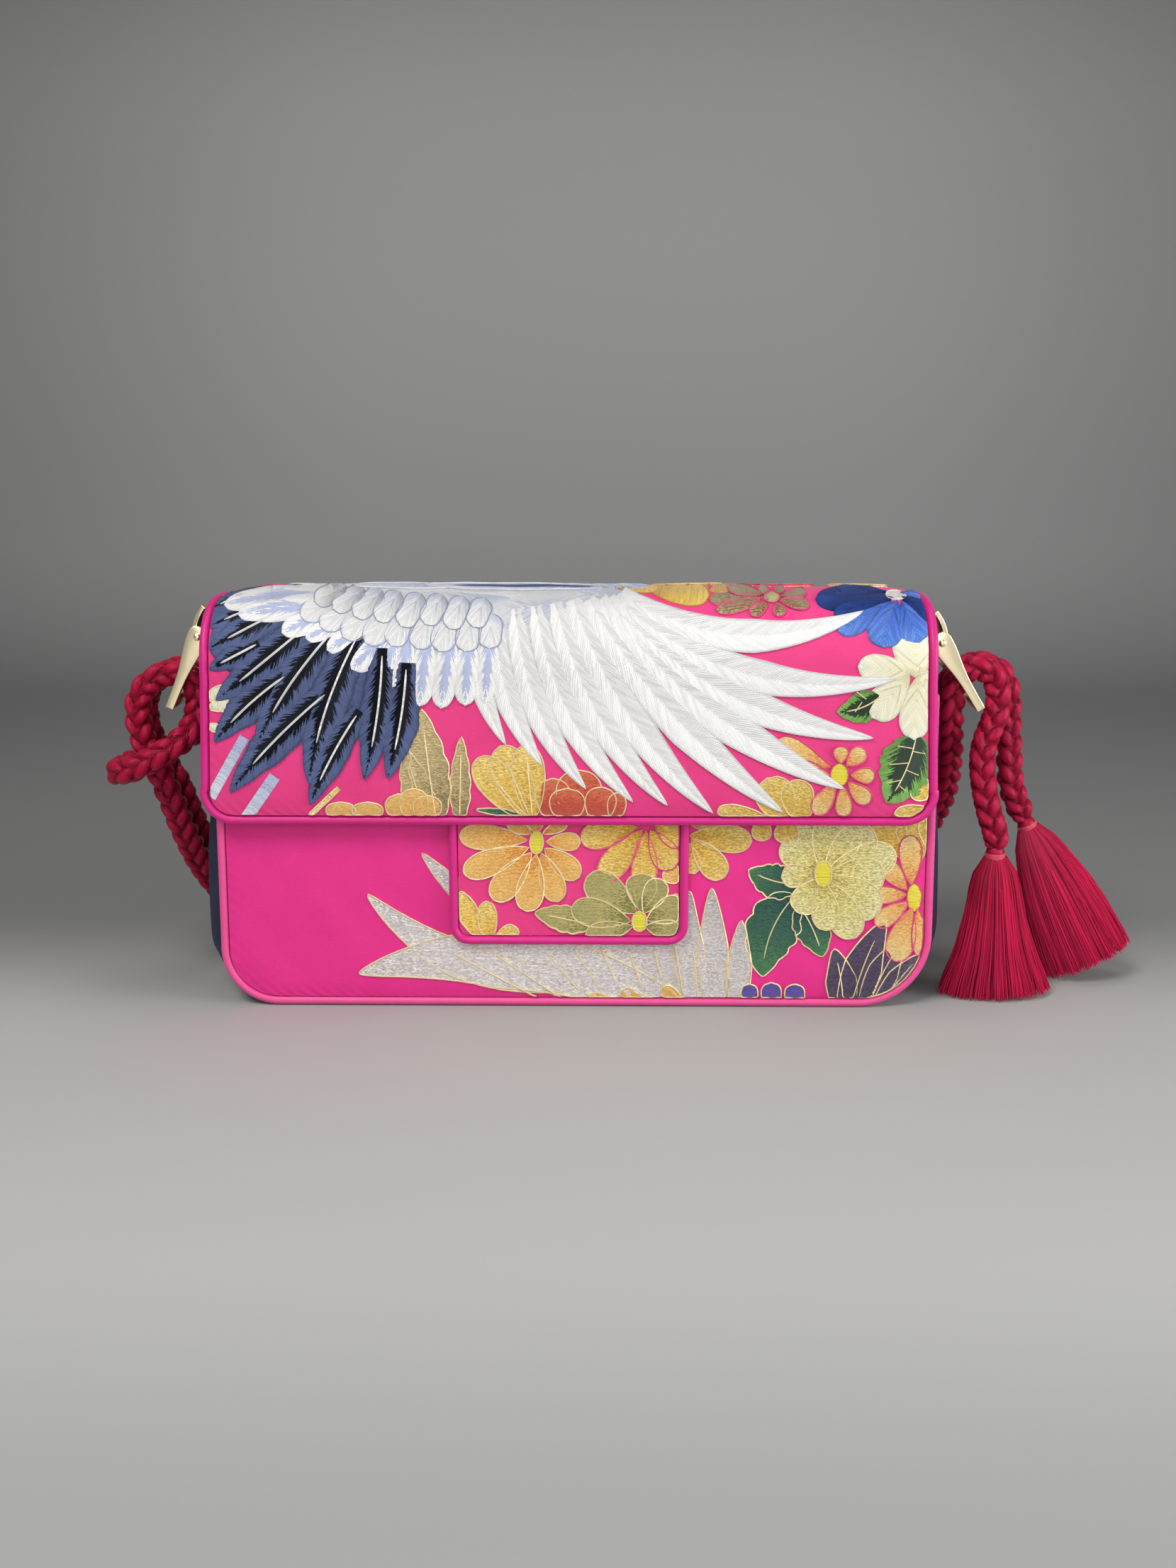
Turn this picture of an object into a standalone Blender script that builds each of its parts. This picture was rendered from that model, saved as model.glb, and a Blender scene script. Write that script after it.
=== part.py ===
"""Baguette bag: a soft silk shoulder bag with a padded flap and a doubled braided cord.

Metres, +Z up, +X to the bag's own right as the camera sees it, the front facing -Y.
The origin is on the ground under the middle of the body. The body is two crowned
panels joined by a gusset strip, hollow inside, and its flap wraps over the top
from the back seam to the front. A metal stirrup hangs from a bracket at the top of
each gusset. The cord is doubled: its middle is knotted on the left stirrup, both
strands run behind the bag, over the right stirrup, and end in tassels.
"""
import math

import bmesh
import bpy
from mathutils import Matrix, Vector

# Fits between neighbouring pieces
GAP = 0.0003

# Body: panels, gusset strip and the piping in their seams
BODY_WIDTH = 0.2675
BODY_TAPER = 0.0012
GUSSET_WIDTH = 0.052
GUSSET_THICKNESS = 0.002
CORNER_LEFT = 0.022
CORNER_RIGHT = 0.028
PANEL_TOP = 0.118
PANEL_THICKNESS = 0.002
PANEL_CROWN = 0.0014
PANEL_ROLL = 0.006
BODY_PIPING = 0.0032

# Flap, as the overall outline with its piping, along the sheet's middle plane
FLAP_WIDTH = 0.2685
FLAP_TAPER = 0.0022
FLAP_SHIFT = -0.0022
FLAP_BOTTOM = 0.072
FLAP_TOP = 0.1518
FLAP_FOLD_START = 0.124
FLAP_FOLD_SQUARENESS = 2.6
FLAP_CORNER = 0.0125
FLAP_THICKNESS = 0.0032
FLAP_CROWN = 0.0020
FLAP_ROLL = 0.007
FLAP_PIPING = 0.0035

# Closing tab that hangs from under the flap
TAB_WIDTH = 0.0885
TAB_DROP = 0.0465
TAB_HIDDEN = 0.016
TAB_CORNER = 0.0072
TAB_THICKNESS = 0.0024
TAB_PIPING = 0.0033

# Hinge brackets, stirrups and their pins
BRACKET_RADIUS = 0.018
BRACKET_SWEEP = 41.0
BRACKET_THICKNESS = 0.0018
BOSS_RADIUS = 0.0026
TONGUE_ABOVE_HINGE = 0.005
STIRRUP_LENGTH = 0.027
STIRRUP_HEAD_RADIUS = 0.0039
STIRRUP_HEAD_REACH = 0.0115
STIRRUP_BAR_WIDTH = 0.0032
STIRRUP_BAR_HEIGHT = 0.0046
STIRRUP_ARM = 0.0018
PIN_RADIUS = 0.0008
PIN_HEAD_RADIUS = 0.0014
PIN_HEAD_DOME = 0.0008

# Cord and its tassels
CORD_DIAMETER = 0.0104
TASSEL_NECK_RADIUS = 0.0043
TASSEL_BINDING = 0.0034
TASSEL_LOCKS = 14
LOCK_DEPTH = 0.075
LOCK_RAGGED = 0.0022

CORD_ROOM = 2 * CORD_DIAMETER + 3 * GAP

# How finely the shapes are divided
TUBE_RESOLUTION = 2
ROUTE_STEPS = 12
FOLD_STEPS = 48
FOLD_ROWS = 15
CORNER_STEPS = 6
BORE_SIDES = 20
BRACKET_STEPS = 7
BOSS_STEPS = 13
PIN_SIDES = 16
POINTS_PER_LOCK = 4
WELD = 0.00001

# Each side of the bag, as the soft gussets are not alike: which way is outwards, how far
# the gusset bulges, how far beyond the body the hinge lies, and the stirrup's swing in degrees
SIDES = {
    "left": {"sign": -1, "bulge": 0.0092, "hinge_out": 0.0066, "hinge_height": 0.1378, "swing": 24.0},
    "right": {"sign": 1, "bulge": 0.0055, "hinge_out": 0.0017, "hinge_height": 0.1356, "swing": 32.0},
}

# Gusset from its top down to the corner: share of its top's height, of its bulge,
# of its lean towards the bracket, and of its width
GUSSET_ROWS = (
    {"height": 1.00, "bulge": 0.00, "lean": 1.00, "width": 0.42},
    {"height": 0.94, "bulge": 0.00, "lean": 1.00, "width": 0.47},
    {"height": 0.88, "bulge": 0.02, "lean": 0.80, "width": 0.62},
    {"height": 0.82, "bulge": 0.06, "lean": 0.55, "width": 0.82},
    {"height": 0.75, "bulge": 0.13, "lean": 0.30, "width": 0.95},
    {"height": 0.66, "bulge": 0.30, "lean": 0.10, "width": 1.00},
    {"height": 0.55, "bulge": 0.62, "lean": 0.00, "width": 1.00},
    {"height": 0.44, "bulge": 0.90, "lean": 0.00, "width": 1.00},
    {"height": 0.32, "bulge": 1.00, "lean": 0.00, "width": 1.00},
)

# Tassels: their sections as shares of length and of the skirt's half width and depth
TASSEL_HANGING = (
    {"drop": 0.00, "width": 0.20, "depth": 0.30},
    {"drop": 0.06, "width": 0.31, "depth": 0.42},
    {"drop": 0.22, "width": 0.43, "depth": 0.58},
    {"drop": 0.46, "width": 0.58, "depth": 0.72},
    {"drop": 0.72, "width": 0.78, "depth": 0.88},
    {"drop": 1.00, "width": 1.00, "depth": 1.00},
)
TASSEL_SPLAYED = (
    {"drop": 0.00, "width": 0.24, "depth": 0.32},
    {"drop": 0.06, "width": 0.40, "depth": 0.46},
    {"drop": 0.20, "width": 0.56, "depth": 0.62},
    {"drop": 0.45, "width": 0.79, "depth": 0.80},
    {"drop": 0.72, "width": 0.92, "depth": 0.92},
    {"drop": 1.00, "width": 1.00, "depth": 1.00},
)
TASSELS = {
    "tassel_front": {"sections": TASSEL_HANGING, "length": 0.0538, "half_width": 0.0215,
                     "half_depth": 0.0120, "lean": (0.045, 0.03)},
    "tassel_back": {"sections": TASSEL_SPLAYED, "length": 0.0594, "half_width": 0.0175,
                    "half_depth": 0.0115, "lean": (0.49, -0.02)},
}

# Cord routes in metres, from the middle of the doubled cord to each tassel
FRONT_STRAND = (
    (-0.1750, -0.0004, 0.0856), (-0.1750, -0.0050, 0.0856), (-0.1729, -0.0112, 0.0864),
    (-0.1678, -0.0155, 0.0880), (-0.1605, -0.0166, 0.0913), (-0.1545, -0.0163, 0.0946), (-0.1488, -0.0130, 0.0985),
    (-0.1452, -0.0085, 0.1030), (-0.1434, -0.0056, 0.1095), (-0.1434, -0.0054, 0.1170),
    (-0.1468, -0.0054, 0.1222), (-0.1528, -0.0054, 0.1233), (-0.1590, -0.0054, 0.1213),
    (-0.1642, -0.0054, 0.1160), (-0.1662, -0.0054, 0.1080), (-0.1645, -0.0054, 0.0975),
    (-0.1598, -0.0054, 0.0870), (-0.1560, -0.0030, 0.0745), (-0.1535, 0.0040, 0.0600),
    (-0.1505, 0.0150, 0.0440), (-0.1450, 0.0290, 0.0280), (-0.1340, 0.0440, 0.0140),
    (-0.1160, 0.0580, 0.0070), (-0.0900, 0.0705, 0.0056), (-0.0600, 0.0780, 0.0056),
    (-0.0280, 0.0812, 0.0056), (0.0050, 0.0812, 0.0056), (0.0370, 0.0775, 0.0056),
    (0.0660, 0.0705, 0.0058), (0.0910, 0.0615, 0.0090), (0.1130, 0.0530, 0.0200),
    (0.1290, 0.0430, 0.0370), (0.1400, 0.0310, 0.0550), (0.1440, 0.0170, 0.0720),
    (0.1437, 0.0060, 0.0880), (0.1420, -0.0010, 0.1000), (0.1410, -0.0054, 0.1100),
    (0.1416, -0.0055, 0.1170), (0.1441, -0.0056, 0.1232), (0.1498, -0.0056, 0.1258),
    (0.1556, -0.0056, 0.1234), (0.1582, -0.0057, 0.1175), (0.1583, -0.0060, 0.1110),
    (0.1565, -0.0066, 0.1045), (0.1542, -0.0074, 0.0985), (0.1531, -0.0083, 0.0925),
    (0.1532, -0.0095, 0.0860),
    (0.1543, -0.0108, 0.0784), (0.1562, -0.0121, 0.0704), (0.1583, -0.0131, 0.0636),
    (0.1586, -0.0129, 0.0570),
)
BACK_STRAND = (
    (-0.1750, 0.0004, 0.0856), (-0.1750, 0.0050, 0.0856), (-0.1729, 0.0112, 0.0864),
    (-0.1678, 0.0155, 0.0880), (-0.1605, 0.0166, 0.0913), (-0.1545, 0.0163, 0.0946), (-0.1488, 0.0130, 0.0985),
    (-0.1452, 0.0085, 0.1030), (-0.1434, 0.0056, 0.1095), (-0.1434, 0.0054, 0.1170),
    (-0.1468, 0.0054, 0.1222), (-0.1528, 0.0054, 0.1233), (-0.1590, 0.0054, 0.1213),
    (-0.1642, 0.0054, 0.1160), (-0.1662, 0.0054, 0.1080), (-0.1645, 0.0054, 0.0975),
    (-0.1598, 0.0058, 0.0870), (-0.1560, 0.0090, 0.0780), (-0.1535, 0.0155, 0.0650),
    (-0.1510, 0.0265, 0.0500), (-0.1460, 0.0410, 0.0345), (-0.1360, 0.0560, 0.0190),
    (-0.1180, 0.0700, 0.0085), (-0.0930, 0.0820, 0.0056), (-0.0610, 0.0893, 0.0056),
    (-0.0280, 0.0924, 0.0056), (0.0060, 0.0924, 0.0056), (0.0390, 0.0887, 0.0056),
    (0.0700, 0.0817, 0.0060), (0.0945, 0.0724, 0.0105), (0.1140, 0.0624, 0.0268),
    (0.1297, 0.0523, 0.0438), (0.1406, 0.0399, 0.0618), (0.1450, 0.0258, 0.0790),
    (0.1449, 0.0153, 0.0941), (0.1430, 0.0092, 0.1050), (0.1411, 0.0056, 0.1145),
    (0.1444, 0.0055, 0.1221), (0.1528, 0.0055, 0.1257), (0.1612, 0.0056, 0.1222),
    (0.1647, 0.0058, 0.1142), (0.1653, 0.0060, 0.1060),
    (0.1660, 0.0062, 0.0970), (0.1668, 0.0066, 0.0890), (0.1677, 0.0077, 0.0815),
    (0.1695, 0.0090, 0.0750), (0.1722, 0.0101, 0.0690), (0.1753, 0.0100, 0.0627),
)
STRAND_SAMPLES = 76
BEND_WEIGHT = 0.018

# Colours as linear red, green and blue
MAGENTA = (0.77, 0.03, 0.22, 1)
PIPING_PINK = (0.82, 0.03, 0.30, 1)
CRIMSON = (0.38, 0.004, 0.045, 1)
GOLD = (0.85, 0.66, 0.36, 1)
SLATE = (0.12, 0.14, 0.27, 1)


def remove_all_objects():
    """Empty the scene that the script starts from."""
    for old in list(bpy.data.objects):
        bpy.data.objects.remove(old, do_unlink=True)


def new_collection(name):
    """A collection linked to the scene."""
    collection = bpy.data.collections.new(name)
    bpy.context.scene.collection.children.link(collection)
    return collection


def material(name, colour, roughness, metallic=0.0):
    """A Principled material."""
    made = bpy.data.materials.new(name)
    made.use_nodes = True
    shader = made.node_tree.nodes["Principled BSDF"]
    shader.inputs["Base Color"].default_value = colour
    shader.inputs["Roughness"].default_value = roughness
    shader.inputs["Metallic"].default_value = metallic
    return made


def place_object(name, data, collection, finish=None):
    """Link an object of the data to a collection, with one material."""
    made = bpy.data.objects.new(name, data)
    collection.objects.link(made)
    if finish is not None:
        data.materials.append(finish)
    return made


def mesh_object(name, shape, collection, finish=None):
    """Turn a bmesh into an object."""
    mesh = bpy.data.meshes.new(name)
    shape.to_mesh(mesh)
    shape.free()
    return place_object(name, mesh, collection, finish)


def smooth(made, angle=35.0):
    """Shade an object's mesh smooth, with its sharp edges kept."""
    made.data.shade_smooth()
    made.data.set_sharp_from_angle(angle=math.radians(angle))


def as_cutter(made):
    """Mark an object as a cutter, which is not part of the bag."""
    made.hide_render = True
    made.display_type = "WIRE"
    return made


def cut(made, cutter, operation="DIFFERENCE"):
    """Add a Boolean of the cutter to the object."""
    boolean = made.modifiers.new(operation.lower(), "BOOLEAN")
    boolean.operation = operation
    boolean.object = cutter
    boolean.solver = "EXACT"


def meshed(curve_object, collection, finish):
    """Replace a curve object by the mesh of its evaluated shape, with its caps welded."""
    graph = bpy.context.evaluated_depsgraph_get()
    mesh = bpy.data.meshes.new_from_object(curve_object.evaluated_get(graph))
    shape = bmesh.new()
    shape.from_mesh(mesh)
    bmesh.ops.remove_doubles(shape, verts=shape.verts, dist=WELD)
    shape.to_mesh(mesh)
    shape.free()
    name = curve_object.name
    world = curve_object.matrix_world.copy()
    bpy.data.objects.remove(curve_object)
    made = bpy.data.objects.new(name, mesh)
    made.matrix_world = world
    collection.objects.link(made)
    mesh.materials.clear()
    mesh.materials.append(finish)
    return made


def tube(name, points, diameter, collection, finish):
    """A round tube with filled caps along the points."""
    data = bpy.data.curves.new(name, "CURVE")
    data.dimensions = "3D"
    data.bevel_depth = diameter / 2
    data.bevel_resolution = TUBE_RESOLUTION
    data.use_fill_caps = True
    spline = data.splines.new("POLY")
    spline.points.add(len(points) - 1)
    for knot, point in zip(spline.points, points):
        knot.co = (*point, 1.0)
    return place_object(name, data, collection, finish)


def smooth_route(route, count):
    """Points along a smooth curve through the route's own points, closer where it bends."""
    knots = [Vector(point) for point in route]
    knots = [2 * knots[0] - knots[1], *knots, 2 * knots[-1] - knots[-2]]
    dense = []
    for before, start, end, after in zip(knots, knots[1:], knots[2:], knots[3:]):
        for step in range(ROUTE_STEPS):
            t = step / ROUTE_STEPS
            dense.append(0.5 * ((2 * start) + (end - before) * t
                                + (2 * before - 5 * start + 4 * end - after) * t ** 2
                                + (3 * start - before - 3 * end + after) * t ** 3))
    dense.append(knots[-2])
    reach = [0.0]
    for before, start, end in zip(dense[:1] + dense, dense, dense[1:]):
        turn = (start - before).angle(end - start, 0.0)
        reach.append(reach[-1] + (end - start).length + BEND_WEIGHT * turn)
    points = []
    for index in range(count):
        target = reach[-1] * index / (count - 1)
        upper = next((i for i, value in enumerate(reach) if value >= target), len(reach) - 1)
        upper = max(upper, 1)
        share = (target - reach[upper - 1]) / (reach[upper] - reach[upper - 1])
        points.append(dense[upper - 1].lerp(dense[upper], min(max(share, 0.0), 1.0)))
    return points


def grid_sheet(name, columns, rows, place, thickness, collection, finish):
    """A sheet from a grid whose points the place function gives, made solid inwards."""
    shape = bmesh.new()
    bmesh.ops.create_grid(shape, x_segments=columns - 1, y_segments=rows - 1, size=1.0)
    for point in shape.verts:
        column = round((point.co.x + 1) / 2 * (columns - 1))
        row = round((point.co.y + 1) / 2 * (rows - 1))
        point.co = place(column, row)
    made = mesh_object(name, shape, collection, finish)
    solid = made.modifiers.new("thickness", "SOLIDIFY")
    solid.thickness = thickness
    solid.offset = -1.0
    smooth(made)
    return made


def arc_steps(radius, count):
    """Distances from an edge at which a rounded corner's rows lie."""
    return [radius * (1 - math.cos(math.pi / 2 * index / count)) for index in range(count)]


def corner_inset(radius, distance):
    """How far a rounded corner draws the side in at a distance from the lower edge."""
    if distance >= radius:
        return 0.0
    return radius - math.sqrt(max(radius ** 2 - (radius - distance) ** 2, 0.0))


def edge_distance(side, lower, radius):
    """Distance to a rounded outline from the distances to its side and lower edge."""
    if side < radius and lower < radius:
        return radius - math.hypot(radius - side, radius - lower)
    return min(side, lower)


def crown(distance, height, roll):
    """Height of padding at a distance from a seam."""
    return height * (1 - math.exp(-max(distance, 0.0) / roll))


# Columns of a sheet as shares of its half width, denser towards its edges
COLUMN_SHARES = (-1.0, -0.985, -0.96, -0.92, -0.84, -0.66, -0.34, 0.0,
                 0.34, 0.66, 0.84, 0.92, 0.96, 0.985, 1.0)


def body_half(height):
    """Half width of the body's outline at a height, narrowing towards its top."""
    return BODY_WIDTH / 2 - BODY_TAPER * height / PANEL_TOP


def corner_radius(sign):
    """Radius of the body's lower corner on one side."""
    return CORNER_RIGHT if sign > 0 else CORNER_LEFT


def body_outline(inset, heights, arc_count=7):
    """Points (x, z) of the body's outline, drawn in by the inset, from its left top round
    the bottom to its right top. The heights are those of the side points, top down."""
    half_outline = {}
    for sign in (-1, 1):
        radius = corner_radius(sign) - inset
        centre_x = body_half(0.0) - inset - radius
        points = [(sign * (body_half(height) - inset), height) for height in heights]
        for index in range(arc_count + 1):
            angle = math.pi / 2 * index / arc_count
            narrowing = BODY_TAPER * corner_radius(sign) / PANEL_TOP * math.cos(angle)
            points.append((sign * (centre_x + radius * math.cos(angle) - narrowing),
                           inset + radius * (1 - math.sin(angle))))
        half_outline[sign] = points
    return half_outline[-1] + half_outline[1][::-1]


def panel(name, facing, collection, finish):
    """A crowned panel inside its ring of piping. Facing is -1 for the front, 1 for the back."""
    inset = BODY_PIPING + 2 * GAP
    radii = {sign: corner_radius(sign) - inset for sign in (-1, 1)}
    length = PANEL_TOP - inset
    steps = arc_steps(max(radii.values()), 7)
    rows = steps + [length * share for share in (0.26, 0.40, 0.60, 0.80, 1.0)]
    middle = facing * (GUSSET_WIDTH / 2 + GAP + BODY_PIPING / 2)

    def place(column, row):
        share = -facing * COLUMN_SHARES[column]
        sign = 1 if share > 0 else -1
        up = rows[row]
        half = body_half(up) - inset
        reach = half - corner_inset(radii[sign], up)
        across = share * reach
        distance = edge_distance(half - abs(across), up, radii[sign])
        depth = PANEL_THICKNESS / 2 + crown(distance, PANEL_CROWN, PANEL_ROLL)
        return Vector((across, middle + facing * depth, inset + up))

    return grid_sheet(name, len(COLUMN_SHARES), len(rows), place, PANEL_THICKNESS,
                      collection, finish)


def gusset(collection, finish):
    """The strip between the panels: up one side, under the bottom and up the other."""
    widths = (-1.0, -0.82, -0.45, 0.0, 0.45, 0.82, 1.0)
    outline = []
    for side in SIDES.values():
        sign = side["sign"]
        top = side["hinge_height"] + TONGUE_ABOVE_HINGE
        lean = side["hinge_out"] - BOSS_RADIUS - GAP
        half_rows = []
        for row in GUSSET_ROWS:
            height = top * row["height"]
            half_rows.append({"x": sign * body_half(height), "z": height,
                              "out": (sign, 0.0), "bulge": side["bulge"] * row["bulge"],
                              "lean": lean * row["lean"], "width": row["width"]})
        radius = corner_radius(sign)
        arc_count = 8
        for index in range(arc_count + 1):
            angle = math.pi / 2 * index / arc_count
            fade = (1 - index / arc_count) ** 2
            half_rows.append({"x": sign * (body_half(0.0) - radius + radius * math.cos(angle)),
                              "z": radius * (1 - math.sin(angle)),
                              "out": (sign * math.cos(angle), -math.sin(angle)),
                              "bulge": side["bulge"] * 0.94 * fade, "lean": 0.0, "width": 1.0})
        outline.append(half_rows)
    rows = outline[0] + outline[1][::-1]

    def place(column, row):
        at = rows[row]
        share = widths[column]
        out = at["bulge"] * (1 - share ** 2) + at["lean"]
        return Vector((at["x"] + at["out"][0] * out, share * at["width"] * GUSSET_WIDTH / 2,
                       max(at["z"] + at["out"][1] * out, 0.0)))

    return grid_sheet("gusset", len(widths), len(rows), place, GUSSET_THICKNESS,
                      collection, finish)


def body_piping(name, facing, collection, finish):
    """Piping in the seam of one panel, from top left round the bottom to top right."""
    depth = facing * (GUSSET_WIDTH / 2 + GAP + BODY_PIPING / 2)
    inset = BODY_PIPING / 2 + GAP
    heights = [PANEL_TOP * share for share in (1.0, 0.75, 0.5)]
    points = [Vector((x, depth, z)) for x, z in body_outline(inset, heights)]
    return tube(name, points, BODY_PIPING, collection, finish)


class FlapFold:
    """The flap's middle plane as a path from its front lower edge over the top to the back."""

    def __init__(self):
        panel_middle = GUSSET_WIDTH / 2 + GAP + BODY_PIPING / 2
        panel_face = panel_middle + PANEL_THICKNESS / 2 + PANEL_CROWN
        self.tab_middle = -(panel_face + GAP + TAB_PIPING / 2)
        self.front = self.tab_middle - TAB_PIPING / 2 - GAP - FLAP_THICKNESS / 2
        self.back = panel_middle
        centre = (self.front + self.back) / 2
        reach = (self.back - self.front) / 2
        rise = FLAP_TOP - FLAP_FOLD_START
        self.points = [(self.front, FLAP_BOTTOM)]
        power = 2 / FLAP_FOLD_SQUARENESS
        for index in range(FOLD_STEPS + 1):
            angle = math.pi * (1 - index / FOLD_STEPS)
            depth = math.copysign(abs(math.cos(angle)) ** power, math.cos(angle))
            height = math.sin(angle) ** power if 0 < index < FOLD_STEPS else 0.0
            self.points.append((centre + reach * depth, FLAP_FOLD_START + rise * height))
        self.points.append((self.back, PANEL_TOP + GAP))
        self.reach = [0.0]
        for start, end in zip(self.points, self.points[1:]):
            self.reach.append(self.reach[-1] + math.dist(start, end))
        self.length = self.reach[-1]
        self.fold = FLAP_FOLD_START - FLAP_BOTTOM

    def at(self, along, out=0.0):
        """Depth and height at a distance along the path, moved outwards."""
        upper = next((i for i, value in enumerate(self.reach) if value >= along), len(self.reach) - 1)
        upper = max(upper, 1)
        start, end = self.points[upper - 1], self.points[upper]
        span = self.reach[upper] - self.reach[upper - 1]
        share = (along - self.reach[upper - 1]) / span
        y = start[0] + (end[0] - start[0]) * share
        z = start[1] + (end[1] - start[1]) * share
        normal = (-(end[1] - start[1]) / span, (end[0] - start[0]) / span)
        return y + normal[0] * out, z + normal[1] * out

    def half(self, along):
        """Half width of the flap's outline at a distance along the path."""
        return FLAP_WIDTH / 2 - FLAP_TAPER * min(along / self.fold, 1.0)

    def rows(self, first):
        """Distances along the path for the rows above the corner, denser over the fold."""
        front = [self.fold * share for share in (0.42, 0.70, 0.94)]
        arc = self.length - self.fold
        over = [self.fold + arc * index / FOLD_ROWS for index in range(1, FOLD_ROWS)]
        return [row for row in front + over if row > first] + [self.length]


def flap(fold, collection, finish):
    """The padded flap inside its piping, from the front lower edge over to the back seam."""
    inset = FLAP_PIPING + GAP
    radius = FLAP_CORNER - inset
    corner_rows = [inset + step for step in arc_steps(radius, CORNER_STEPS)]
    rows = corner_rows + fold.rows(inset + radius)

    def place(column, row):
        share = COLUMN_SHARES[column]
        along = rows[row]
        half = fold.half(along) - inset
        across = share * (half - corner_inset(radius, along - inset))
        distance = edge_distance(half - abs(across), along - inset, radius)
        out = FLAP_THICKNESS / 2 + crown(distance, FLAP_CROWN, FLAP_ROLL)
        fade = min((fold.length - along) / FLAP_ROLL, 1.0)
        out = FLAP_THICKNESS / 2 + (out - FLAP_THICKNESS / 2) * fade
        y, z = fold.at(along, out)
        return Vector((FLAP_SHIFT + across, y, z))

    return grid_sheet("flap", len(COLUMN_SHARES), len(rows), place, FLAP_THICKNESS,
                      collection, finish)


def flap_piping(fold, collection, finish):
    """Piping round the flap's free edge, from the back seam over the top and round the front."""
    inset = FLAP_PIPING / 2
    radius = FLAP_CORNER - inset
    half_outline = []
    for along in reversed(fold.rows(FLAP_CORNER)):
        half_outline.append((fold.half(along) - inset, along))
    for index in range(CORNER_STEPS + 1):
        angle = math.pi / 2 * index / CORNER_STEPS
        half_outline.append((fold.half(0) - inset - radius + radius * math.cos(angle),
                             inset + radius * (1 - math.sin(angle))))
    outline = [(-x, along) for x, along in half_outline] + half_outline[::-1]
    points = [Vector((FLAP_SHIFT + x, *fold.at(along))) for x, along in outline]
    return tube("flap_piping", points, FLAP_PIPING, collection, finish)


def tab(fold, collection, finish):
    """The closing tab inside its piping, hanging from under the flap."""
    inset = TAB_PIPING + GAP
    radius = TAB_CORNER - inset
    height = TAB_DROP + TAB_HIDDEN
    half = TAB_WIDTH / 2 - inset
    rows = arc_steps(radius, 5) + [radius + (height - inset - radius) * share
                                   for share in (0.0, 0.12, 0.5, 1.0)]

    def place(column, row):
        across = COLUMN_SHARES[column] * (half - corner_inset(radius, rows[row]))
        z = FLAP_BOTTOM - TAB_DROP + inset + rows[row]
        return Vector((FLAP_SHIFT + across, fold.tab_middle - TAB_THICKNESS / 2, z))

    return grid_sheet("tab", len(COLUMN_SHARES), len(rows), place, TAB_THICKNESS,
                      collection, finish)


def tab_piping(fold, collection, finish):
    """Piping down one side of the tab, along its lower edge and up the other."""
    inset = TAB_PIPING / 2
    radius = TAB_CORNER - inset
    bottom = FLAP_BOTTOM - TAB_DROP + inset
    half_outline = [(TAB_WIDTH / 2 - inset, FLAP_BOTTOM + TAB_HIDDEN)]
    for index in range(CORNER_STEPS + 1):
        angle = math.pi / 2 * index / CORNER_STEPS
        half_outline.append((TAB_WIDTH / 2 - inset - radius + radius * math.cos(angle),
                             bottom + radius * (1 - math.sin(angle))))
    outline = [(-x, z) for x, z in half_outline] + half_outline[::-1]
    points = [Vector((FLAP_SHIFT + x, fold.tab_middle, z)) for x, z in outline]
    return tube("tab_piping", points, TAB_PIPING, collection, finish)


def hinge_point(side):
    """The middle of one stirrup's hinge axis, which runs along Y."""
    return Vector((side["sign"] * (BODY_WIDTH / 2 + side["hinge_out"]), 0.0, side["hinge_height"]))


def extruded_outline(name, outline, width, collection, finish):
    """An outline in the XZ plane, as wide as given along Y, about the middle plane."""
    data = bpy.data.curves.new(name, "CURVE")
    data.dimensions = "2D"
    data.fill_mode = "BOTH"
    data.extrude = width / 2
    spline = data.splines.new("POLY")
    spline.points.add(len(outline) - 1)
    for knot, (x, z) in zip(spline.points, outline):
        knot.co = (x, z, 0.0, 1.0)
    spline.use_cyclic_u = True
    made = place_object(name, data, collection, finish)
    made.rotation_euler = (math.pi / 2, 0.0, 0.0)
    bpy.context.view_layer.update()
    made = meshed(made, collection, finish)
    made.data.transform(made.matrix_world)
    made.matrix_world = Matrix.Identity(4)
    return made


def bore(name, radius, length, cutters):
    """A round cutter along Y through the origin."""
    bpy.ops.mesh.primitive_cylinder_add(vertices=BORE_SIDES, radius=radius, depth=length,
                                        rotation=(math.pi / 2, 0.0, 0.0))
    made = bpy.context.active_object
    made.name = name
    for old in list(made.users_collection):
        old.objects.unlink(made)
    cutters.objects.link(made)
    return as_cutter(made)


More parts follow.
